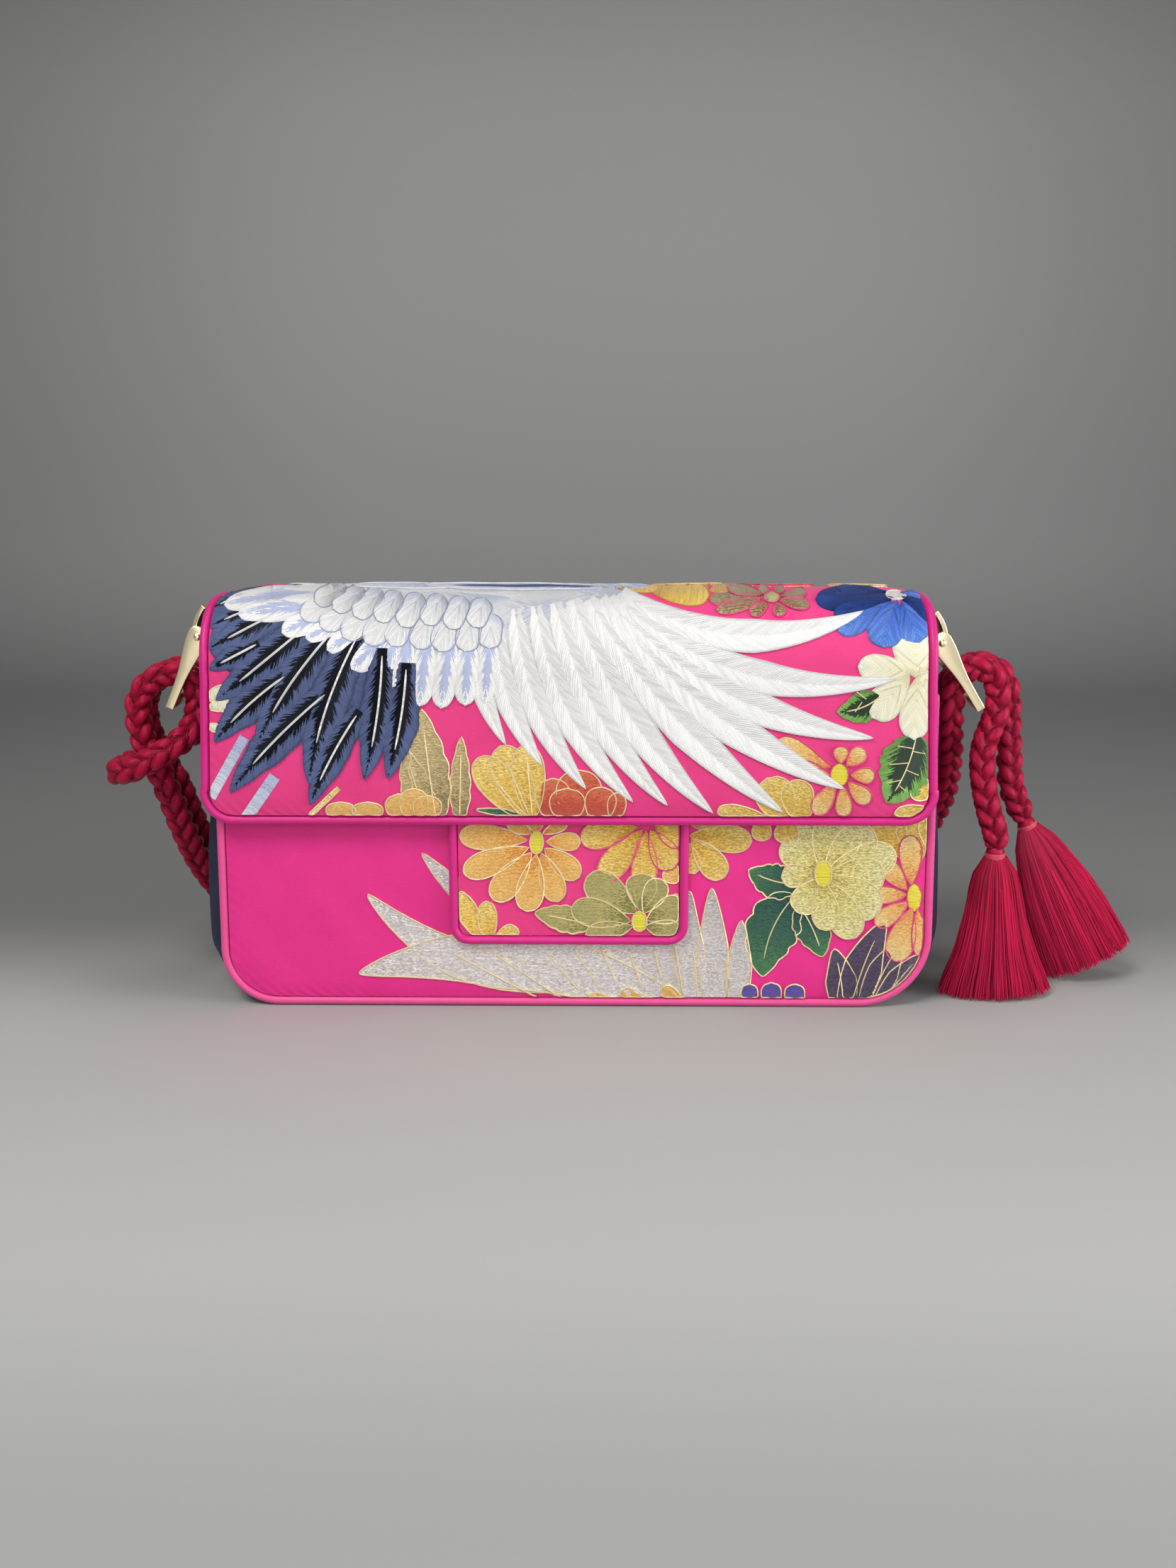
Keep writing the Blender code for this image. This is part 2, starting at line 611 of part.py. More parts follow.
def bracket(name, side, parent, collection, cutters, finish):
    """The curved shield and boss at the gusset's top that carry the pin."""
    outer, inner = BRACKET_RADIUS, BRACKET_RADIUS - BRACKET_THICKNESS
    centre_x = BOSS_RADIUS - outer
    sweep = math.radians(BRACKET_SWEEP)
    meeting = math.acos((centre_x ** 2 + inner ** 2 - BOSS_RADIUS ** 2) / (2 * abs(centre_x) * inner))
    outline = []
    for index in range(BRACKET_STEPS + 1):
        angle = sweep * index / BRACKET_STEPS
        outline.append((centre_x + outer * math.cos(angle), outer * math.sin(angle)))
    for index in range(BRACKET_STEPS + 1):
        angle = sweep + (meeting - sweep) * index / BRACKET_STEPS
        outline.append((centre_x + inner * math.cos(angle), inner * math.sin(angle)))
    boss_start = math.atan2(outline[-1][1], outline[-1][0])
    for index in range(1, BOSS_STEPS):
        angle = boss_start + (2 * math.pi - boss_start) * index / BOSS_STEPS
        outline.append((BOSS_RADIUS * math.cos(angle), BOSS_RADIUS * math.sin(angle)))
    outline = [(side["sign"] * x, z) for x, z in outline]
    made = extruded_outline(name, outline, CORD_ROOM - 2 * GAP, collection, finish)
    hole = bore(name + "_bore", PIN_RADIUS + GAP, CORD_ROOM + 2 * STIRRUP_ARM, cutters)
    hole.parent = parent
    made.parent = parent
    cut(made, hole)
    smooth(made)
    return made


def stirrup_outline():
    """One arm seen along Y, hanging down from the hinge axis: a round head that
    narrows to the width of the crossbar."""
    def half_width(drop):
        bar = STIRRUP_BAR_WIDTH / 2
        if drop <= 0:
            return math.sqrt(max(STIRRUP_HEAD_RADIUS ** 2 - drop ** 2, 0.0))
        return bar + (STIRRUP_HEAD_RADIUS - bar) * math.exp(-(drop / STIRRUP_HEAD_REACH) ** 2)

    end = STIRRUP_LENGTH + STIRRUP_BAR_HEIGHT / 2
    head = [-STIRRUP_HEAD_RADIUS * math.cos(math.pi / 2 * index / 7) for index in range(1, 8)]
    taper = [end * share for share in (0.07, 0.14, 0.22, 0.30, 0.40, 0.52, 0.70, 0.95)]
    profile = [(half_width(drop), drop) for drop in head + taper]
    profile.append((half_width(end) * 0.72, end))
    right = [(x, -drop) for x, drop in profile]
    return right[::-1] + [(0.0, STIRRUP_HEAD_RADIUS)] + [(-x, z) for x, z in right]


def stirrup(name, side, parent, collection, cutters, finish):
    """Two tapered arms joined by a crossbar at their lower end, swung out on the pin."""
    width = CORD_ROOM + 2 * STIRRUP_ARM
    made = extruded_outline(name, stirrup_outline(), width, collection, finish)
    top = STIRRUP_HEAD_RADIUS * 2
    bottom = STIRRUP_LENGTH - STIRRUP_BAR_HEIGHT / 2
    bpy.ops.mesh.primitive_cube_add(size=1.0, location=(0.0, 0.0, (top - bottom) / 2))
    window = bpy.context.active_object
    window.name = name + "_window"
    window.scale = (STIRRUP_HEAD_RADIUS * 4, CORD_ROOM, top + bottom)
    for old in list(window.users_collection):
        old.objects.unlink(window)
    cutters.objects.link(as_cutter(window))
    hole = bore(name + "_bore", PIN_RADIUS + GAP, 2 * width, cutters)
    window.parent = made
    hole.parent = made
    made.parent = parent
    made.rotation_euler = (0.0, -side["sign"] * math.radians(side["swing"]), 0.0)
    cut(made, window)
    cut(made, hole)
    smooth(made)
    return made


def pin(name, parent, collection, finish):
    """A turned pin along Y with a domed head outside each arm."""
    face = CORD_ROOM / 2 + STIRRUP_ARM + GAP
    profile = [(0.0, face + PIN_HEAD_DOME)]
    for index in range(1, 5):
        angle = math.pi / 2 * index / 4
        profile.append((PIN_HEAD_RADIUS * math.sin(angle), face + PIN_HEAD_DOME * math.cos(angle)))
    profile.append((PIN_RADIUS, face))
    profile += [(radius, -height) for radius, height in reversed(profile)]
    shape = bmesh.new()
    points = [shape.verts.new((radius, 0.0, height)) for radius, height in profile]
    for start, end in zip(points, points[1:]):
        shape.edges.new((start, end))
    made = mesh_object(name, shape, collection, finish)
    turn = made.modifiers.new("turn", "SCREW")
    turn.axis = "Z"
    turn.steps = PIN_SIDES
    turn.render_steps = PIN_SIDES
    turn.use_merge_vertices = True
    turn.merge_threshold = WELD
    made.rotation_euler = (math.pi / 2, 0.0, 0.0)
    made.parent = parent
    smooth(made)
    return made


def hardware(label, side, collection, cutters, finish):
    """A bracket, stirrup and pin on one hinge axis."""
    axis = bpy.data.objects.new("hinge_" + label, None)
    axis.location = hinge_point(side)
    collection.objects.link(axis)
    bracket("bracket_" + label, side, axis, collection, cutters, finish)
    stirrup("stirrup_" + label, side, axis, collection, cutters, finish)
    pin("pin_" + label, axis, collection, finish)


def lock_length(index):
    """How much shorter one lock of a tassel is than its longest, repeating unevenly."""
    return LOCK_RAGGED * (0.5 - 0.5 * math.cos(2.4 * index + 0.6 * math.sin(1.7 * index)))


def tassel(name, route, collection, cutters, finish):
    """A bound neck with a skirt of locks, hanging from the end of a strand."""
    form = TASSELS[name]
    count = TASSEL_LOCKS * POINTS_PER_LOCK
    shape = bmesh.new()
    rings = []
    for section in form["sections"]:
        ring = []
        for index in range(count):
            angle = 2 * math.pi * index / count
            part_of_lock = (index % POINTS_PER_LOCK) / POINTS_PER_LOCK
            valley = LOCK_DEPTH * (0.5 + 0.5 * math.cos(2 * math.pi * part_of_lock))
            swell = 1 - valley * min(section["drop"] * 4, 1.0)
            shorter = lock_length(index // POINTS_PER_LOCK) + LOCK_RAGGED * valley / LOCK_DEPTH
            drop = section["drop"] * (form["length"] - shorter * section["drop"])
            ring.append(shape.verts.new((
                form["half_width"] * section["width"] * swell * math.cos(angle),
                form["half_depth"] * section["depth"] * swell * math.sin(angle), -drop)))
        rings.append(ring)
    for upper, lower in zip(rings, rings[1:]):
        for index in range(count):
            following = (index + 1) % count
            shape.faces.new((upper[index], lower[index], lower[following], upper[following]))
    shape.faces.new(rings[0])
    hollow = shape.verts.new((0.0, 0.0, -form["length"] * 0.86))
    last = rings[-1]
    for index in range(count):
        shape.faces.new((last[(index + 1) % count], last[index], hollow))
    bmesh.ops.recalc_face_normals(shape, faces=shape.faces)
    made = mesh_object(name, shape, collection, finish)
    bpy.ops.mesh.primitive_cylinder_add(vertices=BORE_SIDES, radius=TASSEL_NECK_RADIUS,
                                        depth=TASSEL_BINDING)
    binding = bpy.context.active_object
    binding.name = name + "_binding"
    for old in list(binding.users_collection):
        old.objects.unlink(binding)
    cutters.objects.link(as_cutter(binding))
    binding.parent = made
    end = Vector(route[-1])
    down = (end - Vector(route[-2])).normalized()
    made.location = end + down * (TASSEL_BINDING / 2 + 2 * GAP)
    lean_x, lean_y = form["lean"]
    lean = Vector((lean_x, lean_y, -1.0))
    made.rotation_euler = Vector((0.0, 0.0, -1.0)).rotation_difference(lean).to_euler()
    cut(made, binding, "UNION")
    smooth(made, 50.0)
    return made


def main():
    """Build the bag's pieces."""
    remove_all_objects()
    parts = new_collection("baguette_bag")
    cutters = new_collection("cutters")
    silk = material("magenta_silk", MAGENTA, 0.6)
    edging = material("pink_piping", PIPING_PINK, 0.5)
    side_cloth = material("gusset_cloth", SLATE, 0.6)
    cord_silk = material("crimson_cord", CRIMSON, 0.4)
    gilt = material("pale_gold", GOLD, 0.15, 1.0)
    fold = FlapFold()
    panel("front_panel", -1, parts, silk)
    panel("back_panel", 1, parts, silk)
    gusset(parts, side_cloth)
    body_piping("front_piping", -1, parts, edging)
    body_piping("back_piping", 1, parts, edging)
    flap(fold, parts, silk)
    flap_piping(fold, parts, edging)
    tab(fold, parts, silk)
    tab_piping(fold, parts, edging)
    for label, side in SIDES.items():
        hardware(label, side, parts, cutters, gilt)
    for name, route, end in (("strand_front", FRONT_STRAND, "tassel_front"),
                             ("strand_back", BACK_STRAND, "tassel_back")):
        tube(name, smooth_route(route, STRAND_SAMPLES), CORD_DIAMETER, parts, cord_silk)
        tassel(end, route, parts, cutters, cord_silk)


main()
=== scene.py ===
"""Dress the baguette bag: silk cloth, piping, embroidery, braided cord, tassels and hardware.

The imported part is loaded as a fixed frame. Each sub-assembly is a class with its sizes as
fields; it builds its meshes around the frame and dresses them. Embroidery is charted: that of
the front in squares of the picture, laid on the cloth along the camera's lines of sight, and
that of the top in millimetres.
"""
from __future__ import annotations

import logging
import math
from dataclasses import dataclass, field, replace
from enum import Enum

import bmesh
import bpy
import numpy as np
from mathutils import Matrix, Vector

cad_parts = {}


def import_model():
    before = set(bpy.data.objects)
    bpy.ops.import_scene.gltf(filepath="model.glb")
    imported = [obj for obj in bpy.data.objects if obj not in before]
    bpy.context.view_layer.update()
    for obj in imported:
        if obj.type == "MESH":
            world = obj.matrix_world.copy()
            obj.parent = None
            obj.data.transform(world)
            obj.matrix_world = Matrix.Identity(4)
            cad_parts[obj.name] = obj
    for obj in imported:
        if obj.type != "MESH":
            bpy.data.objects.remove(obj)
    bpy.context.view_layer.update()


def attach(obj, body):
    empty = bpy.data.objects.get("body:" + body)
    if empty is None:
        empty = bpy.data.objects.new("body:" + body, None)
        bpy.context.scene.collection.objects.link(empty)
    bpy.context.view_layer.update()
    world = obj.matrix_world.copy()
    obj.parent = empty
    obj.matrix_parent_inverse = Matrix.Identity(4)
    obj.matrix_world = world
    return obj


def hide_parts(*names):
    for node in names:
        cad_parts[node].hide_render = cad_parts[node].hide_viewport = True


LOG = logging.getLogger("baguette_bag")
BODY = "root"
GAP = 0.0003
MM = 0.001

Array = np.ndarray
Socket = bpy.types.NodeSocket
Material = bpy.types.Material
Piece = bpy.types.Object
Rgb = tuple[float, float, float]
Point = tuple[float, float]
Place = tuple[float, float, float]


class Slot(Enum):
    """The record's material slots."""

    SILK = "silk"
    PIPING = "piping"
    GUSSET = "gusset_cloth"
    CORD = "cord_silk"
    GILT = "gilt"


class Side(Enum):
    """The two ends of the bag, as the sign of X."""

    LEFT = -1
    RIGHT = 1


# Meshes


def grid_quads(rows: int, columns: int, ring: bool = False) -> Array:
    """Quads of a grid of points in row order.

    Args:
        rows: How many rows of points there are.
        columns: How many points a row has.
        ring: Whether each row closes on itself.

    Returns:
        The point numbers of each quad.
    """
    index = np.arange(rows * columns).reshape(rows, columns)
    if ring:
        index = np.hstack([index, index[:, :1]])
    corners = (index[:-1, :-1], index[:-1, 1:], index[1:, 1:], index[1:, :-1])
    return together(*corners).reshape(-1, 4)


def rim_quads(rows: int, columns: int) -> Array:
    """Quads that close the edge between a grid of points and its copy behind it.

    Args:
        rows: How many rows of points the grid has.
        columns: How many points a row has.

    Returns:
        The point numbers of each quad.
    """
    index = np.arange(rows * columns).reshape(rows, columns)
    loop = np.concatenate([index[0, :-1], index[:-1, -1], index[-1, :0:-1], index[:0:-1, 0]])
    following = np.roll(loop, -1)
    return together(following, loop, loop + index.size, following + index.size)


def together(*parts: Array | float) -> Array:
    """Arrays, stretched to one shape, side by side in a new last axis."""
    return np.stack(np.broadcast_arrays(*parts), axis=-1)


def add_object(name: str, data: bpy.types.ID) -> Piece:
    """Add an object to the scene.

    Args:
        name: Its name.
        data: Its mesh, light or camera.

    Returns:
        The new object.
    """
    added = bpy.data.objects.new(name, data)
    bpy.context.scene.collection.objects.link(added)
    return added


@dataclass
class Gathering:
    """Points and quads of many patches that become one piece."""

    points: list[Array] = field(default_factory=list)
    quads: list[Array] = field(default_factory=list)
    threads: list[Array] = field(default_factory=list)
    places: list[Array] = field(default_factory=list)
    count: int = 0

    def add(self, points: Array, quads: Array, thread: Array,
            place: Array | None = None) -> None:
        """Add a patch.

        Args:
            points: Its points in metres.
            quads: Its quads, counted from its own first point.
            thread: For each point, millimetres across and along the threads.
            place: For each point, its share from root to tip and from side to side.
        """
        self.points.append(points.reshape(-1, 3))
        self.quads.append(quads + self.count)
        self.threads.append(thread.reshape(-1, 2))
        self.places.append((thread * 0.0 if place is None else place).reshape(-1, 2))
        self.count += len(self.points[-1])

    def build(self, name: str, finish: Material, slot: Slot,
              sharp: float = 60.0) -> Piece:
        """Make the gathered patches one piece that rides on the bag.

        Args:
            name: The piece's name.
            finish: Its material.
            slot: The record's slot; not used.
            sharp: The angle in degrees from which an edge stays sharp.

        Returns:
            The new object.
        """
        quads = np.concatenate(self.quads)
        mesh = bpy.data.meshes.new(name)
        mesh.from_pydata(np.concatenate(self.points), [], quads)
        for layer_name, gathered in (("thread", self.threads), ("place", self.places)):
            layer = mesh.uv_layers.new(name=layer_name)
            layer.data.foreach_set("uv", np.concatenate(gathered)[quads.ravel()].ravel())
        mesh.shade_smooth()
        mesh.set_sharp_from_angle(angle=math.radians(sharp))
        mesh.materials.append(finish)
        return settle(add_object(name, mesh))


def settle(piece: Piece) -> Piece:
    """Ride a piece on the bag and report it.

    Args:
        piece: The piece.

    Returns:
        The same piece.
    """
    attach(piece, BODY)
    LOG.info("%s: %d faces", piece.name, len(piece.data.polygons))
    return piece


def unit(vectors: Array) -> Array:
    """Vectors of length one."""
    return vectors / np.maximum(np.linalg.norm(vectors, axis=-1, keepdims=True), 1e-12)


def quarter(count: int) -> Array:
    """Evenly spaced angles of a quarter turn."""
    return np.linspace(0, math.pi / 2, count)


def distances(line: Array) -> Array:
    """How far along a line of straight steps each of its points lies."""
    return np.concatenate([[0.0], np.cumsum(np.linalg.norm(np.diff(line, axis=0), axis=1))])


def points_at(line: Array, reach: Array, wanted: Array) -> Array:
    """Points at wanted distances along a line whose own points lie at known ones."""
    return together(*(np.interp(wanted, reach, axis) for axis in line.T))


def spaced(line: Array, spacing: float) -> Array:
    """Evenly spaced points along a line of straight steps.

    Args:
        line: The line's points.
        spacing: The distance between the points returned.

    Returns:
        The spaced points.
    """
    reach = distances(line)
    count = max(int(round(reach[-1] / spacing)), 2)
    return points_at(line, reach, np.linspace(0, reach[-1], count + 1))


def smooth_line(points: Array, spacing: float) -> Array:
    """Evenly spaced points along a smooth curve through the given ones.

    Args:
        points: The curve's own points.
        spacing: The distance between the points returned.

    Returns:
        The spaced points.
    """
    knots = np.vstack([2 * points[0] - points[1], points, 2 * points[-1] - points[-2]])
    t = np.linspace(0, 1, 16, endpoint=False)[:, None]
    dense = []
    for before, start, end, after in zip(knots, knots[1:], knots[2:], knots[3:]):
        dense.append(0.5 * (2 * start + (end - before) * t
                            + (2 * before - 5 * start + 4 * end - after) * t ** 2
                            + (3 * start - before - 3 * end + after) * t ** 3))
    return spaced(np.vstack([*dense, points[-1:]]), spacing)


def frames_along(line: Array) -> tuple[Array, Array, Array]:
    """Frames that turn as little as they can along a line.

    Args:
        line: The line's points.

    Returns:
        The tangents, and two directions square to them and to each other.
    """
    tangents = unit(np.gradient(line, axis=0))
    first = np.array([0.0, 0.0, 1.0]) if abs(tangents[0][2]) < 0.8 else np.array([0.0, 1.0, 0.0])
    normals = np.empty_like(line)
    for index, tangent in enumerate(tangents):
        first = first - tangent * first.dot(tangent)
        first = first / np.linalg.norm(first)
        normals[index] = first
    return tangents, normals, np.cross(tangents, normals)


def tube(line: Array, radius: Array | float, sides: int) -> tuple[Array, ...]:
    """A round tube with domed ends along a line.

    Args:
        line: The tube's middle line.
        radius: Its radius, or one for each point.
        sides: How many sides it has.

    Returns:
        Its points, quads and thread coordinates in millimetres.
    """
    radii = np.broadcast_to(np.asarray(radius, dtype=float), (len(line),))
    tangents, across, up = frames_along(line)
    dome = np.radians([89.0, 60.0, 30.0])
    start = line[0] - np.sin(dome)[:, None] * tangents[0] * radii[0]
    end = line[-1] + np.sin(dome[::-1])[:, None] * tangents[-1] * radii[-1]
    middle = np.vstack([start, line, end])
    grown = np.concatenate([radii[0] * np.cos(dome), radii, radii[-1] * np.cos(dome[::-1])])
    across, up = (np.pad(side, ((len(dome), len(dome)), (0, 0)), "edge") for side in (across, up))
    angle = np.linspace(0, 2 * math.pi, sides, endpoint=False)
    spoke = across[:, None] * np.cos(angle)[None, :, None] + up[:, None] * np.sin(angle)[None, :, None]
    points = middle[:, None] + spoke * grown[:, None, None]
    around = np.abs(angle - math.pi) * radii.mean()
    thread = together(around[None, :] / MM, distances(middle)[:, None] / MM)
    return points, grid_quads(len(middle), sides, ring=True), thread


# Shaders


class Shader:
    """A material or a node group, with short ways to add nodes and links."""

    def __init__(self, tree: bpy.types.NodeTree) -> None:
        """Work on a node tree."""
        self.tree = tree

    def add(self, kind: str, **settings: object) -> bpy.types.Node:
        """Add a node and set its properties.

        Args:
            kind: The node's kind.
            settings: Its properties.

        Returns:
            The new node.
        """
        node = self.tree.nodes.new("ShaderNode" + kind)
        for name, value in settings.items():
            setattr(node, name, value)
        return node

    def feed(self, node: bpy.types.Node, **inputs: object) -> bpy.types.Node:
        """Set or link a node's inputs.

        Args:
            node: The node.
            inputs: A value or an output socket for each input, its name with _ for a space,
                or in0, in1 and so on for an input by its number.

        Returns:
            The same node.
        """
        for name, value in inputs.items():
            key = int(name[2:]) if name[:2] == "in" and name[2:].isdigit() else name.replace("_", " ")
            socket = node.inputs[key]
            if isinstance(value, Socket):
                self.tree.links.new(value, socket)
            else:
                socket.default_value = value
        return node

    def math(self, operation: str, first: object, second: object = 0.0) -> Socket:
        """The result of one operation on two numbers."""
        return self.feed(self.add("Math", operation=operation), in0=first, in1=second).outputs[0]

    def times(self, first: object, second: object) -> Socket:
        """The product of two numbers."""
        return self.math("MULTIPLY", first, second)

    def plus(self, first: object, second: object) -> Socket:
        """The sum of two numbers."""
        return self.math("ADD", first, second)

    def minus(self, first: object, second: object) -> Socket:
        """A number less another."""
        return self.math("SUBTRACT", first, second)

    def mix(self, factor: object, first: object, second: object,
            blend: str = "MIX") -> Socket:
        """Two colours mixed by a factor.

        Args:
            factor: The share of the second colour.
            first: The first colour.
            second: The second colour.
            blend: How the second is laid over the first.

        Returns:
            The mixed colour.
        """
        node = self.add("Mix", data_type="RGBA", blend_type=blend)
        self.feed(node, in0=factor, in6=first, in7=second)
        return node.outputs[2]

    def between(self, value: object, low: float, high: float) -> Socket:
        """A value's smooth step from 0 at low to 1 at high."""
        node = self.add("MapRange", interpolation_type="SMOOTHSTEP")
        return self.feed(node, Value=value, From_Min=low, From_Max=high).outputs[0]

    def ramp(self, value: object, stops: tuple[tuple[float, Rgb], ...]) -> Socket:
        """The colour of a value between stops.

        Args:
            value: The value.
            stops: Values in rising order, each with its colour.

        Returns:
            The colour.
        """
        whole = colour(stops[0][1])
        for (low, _), (high, shade) in zip(stops, stops[1:]):
            whole = self.mix(self.between(value, low, high), whole, colour(shade))
        return whole

    def noise(self, vector: object, scale: float, detail: float = 2.0) -> Socket:
        """Noise from 0 to 1 at a scale."""
        return self.feed(self.add("TexNoise"), Vector=vector, Scale=scale, Detail=detail).outputs["Fac"]

    def parts(self, vector: object) -> bpy.types.bpy_prop_collection:
        """The three parts of a vector."""
        return self.feed(self.add("SeparateXYZ"), Vector=vector).outputs

    def vector(self, x: object, y: object, z: object = 0.0) -> Socket:
        """A vector of three parts."""
        return self.feed(self.add("CombineXYZ"), X=x, Y=y, Z=z).outputs[0]

    def place(self) -> Socket:
        """The place in the object's own space."""
        return self.add("TexCoord").outputs["Object"]

    def layer(self, name: str) -> Socket:
        """The coordinates of one of the mesh's layers."""
        return self.add("UVMap", uv_map=name).outputs[0]

    def emboss(self, principled: bpy.types.Node, height: object, depth: float) -> None:
        """Raise a material's surface by a height from 0 to 1, as far as a depth."""
        bump = self.feed(self.add("Bump"), Strength=1.0, Distance=depth, Height=height)
        self.feed(principled, Normal=bump.outputs[0])


def node_group(name: str, inputs: dict[str, str], outputs: dict[str, str]) -> tuple[Shader, object, object]:
    """A new shader node group.

    Args:
        name: The group's name.
        inputs: The kind of socket for each input's name.
        outputs: The kind of socket for each output's name.

    Returns:
        The group's tree as a Shader, its input node and its output node.
    """
    tree = bpy.data.node_groups.new(name, "ShaderNodeTree")
    for direction, sockets in (("INPUT", inputs), ("OUTPUT", outputs)):
        for socket_name, kind in sockets.items():
            tree.interface.new_socket(name=socket_name, in_out=direction, socket_type="NodeSocket" + kind)
    group = Shader(tree)
    return group, tree.nodes.new("NodeGroupInput"), tree.nodes.new("NodeGroupOutput")


def crepe_grain() -> bpy.types.NodeTree:
    """The node group for the pebbled grain of crepe silk, in object space.

    Returns:
        The group, which is made once.
    """
    if "crepe_grain" in bpy.data.node_groups:
        return bpy.data.node_groups["crepe_grain"]
    group, given, result = node_group("crepe_grain", {"Position": "Vector", "Size": "Float"},
                                      {"Height": "Float", "Tone": "Float"})
    moved = group.add("VectorMath", operation="SCALE")
    group.feed(moved, in0=given.outputs["Position"], Scale=group.math("DIVIDE", 1.0, given.outputs["Size"]))
    pebbles = group.noise(moved.outputs[0], 1.0, 3.0)
    cloudy = group.noise(moved.outputs[0], 0.045, 2.0)
    group.feed(result, Height=pebbles, Tone=group.between(cloudy, 0.3, 0.7))
    return group.tree


def thread_rows() -> bpy.types.NodeTree:
    """The node group for rows of thread that lie side by side.

    Returns:
        The group, which is made once.
    """
    if "thread_rows" in bpy.data.node_groups:
        return bpy.data.node_groups["thread_rows"]
    group, given, result = node_group(
        "thread_rows", {"Thread": "Vector", "Width": "Float", "Waver": "Float", "Pieces": "Float"},
        {"Height": "Float", "Tone": "Float"})
    thread, width, waver, pieces = given.outputs[:4]
    across, along, _ = group.parts(thread)
    drift = group.times(group.minus(group.noise(thread, 0.35), 0.5), waver)
    row = group.math("DIVIDE", group.plus(across, drift), width)
    inside = group.minus(group.times(group.math("FRACT", row), 2.0), 1.0)
    count = group.math("FLOOR", row)
    staggered = group.plus(group.times(along, pieces), group.times(count, 0.618))
    random_tone = group.add("TexWhiteNoise", noise_dimensions="2D")
    group.feed(random_tone, Vector=group.vector(count, group.math("FLOOR", staggered)))
    height = group.minus(1.0, group.times(inside, inside))
    group.feed(result, Height=height, Tone=random_tone.outputs["Value"])
    return group.tree


def colour(rgb: Rgb) -> tuple[float, float, float, float]:
    """A colour with full opacity."""
    return (*rgb, 1.0)


def new_material(name: str, **constants: object) -> tuple[Shader, bpy.types.Node, Material]:
    """A material with its Principled shader's own sockets set.

    Args:
        name: The material's name.
        constants: Values for the shader's sockets, with _ for a space.

    Returns:
        The material's tree as a Shader, its Principled node and the material.
    """
    made = bpy.data.materials.new(name)
    made.use_nodes = True
    shader = Shader(made.node_tree)
    principled = made.node_tree.nodes["Principled BSDF"]
    shader.feed(principled, **constants)
    return shader, principled, made


@dataclass(frozen=True)
class ClothFinish:
    """Crepe silk, with a pebbled grain and soft changes of tone."""

    name: str
    ground: Rgb
    shade: Rgb
    grain: float = 0.00055
    depth: float = 0.00012
    roughness: float = 0.62
    sheen: float = 0.35
    sheen_roughness: float = 0.4
    specular: float = 0.35
    speckle: float = 0.35
    speckled: tuple[float, float] = (0.25, 0.75)

    def build(self) -> Material:
        """Make the material.

        Returns:
            The new material.
        """
        shader, principled, made = new_material(
            self.name, Roughness=self.roughness, Sheen_Weight=self.sheen,
            Sheen_Roughness=self.sheen_roughness, Specular_IOR_Level=self.specular)
        grain = shader.feed(shader.add("Group", node_tree=crepe_grain()), Position=shader.place(),
                            Size=self.grain)
        height, cloud = grain.outputs["Height"], grain.outputs["Tone"]
        tone = shader.mix(cloud, colour(self.shade), colour(self.ground))
        speckle = shader.times(shader.between(height, *self.speckled), self.speckle)
        shader.feed(principled, Base_Color=shader.mix(speckle, tone, colour(self.ground)))
        shader.emboss(principled, height, self.depth)
        return made


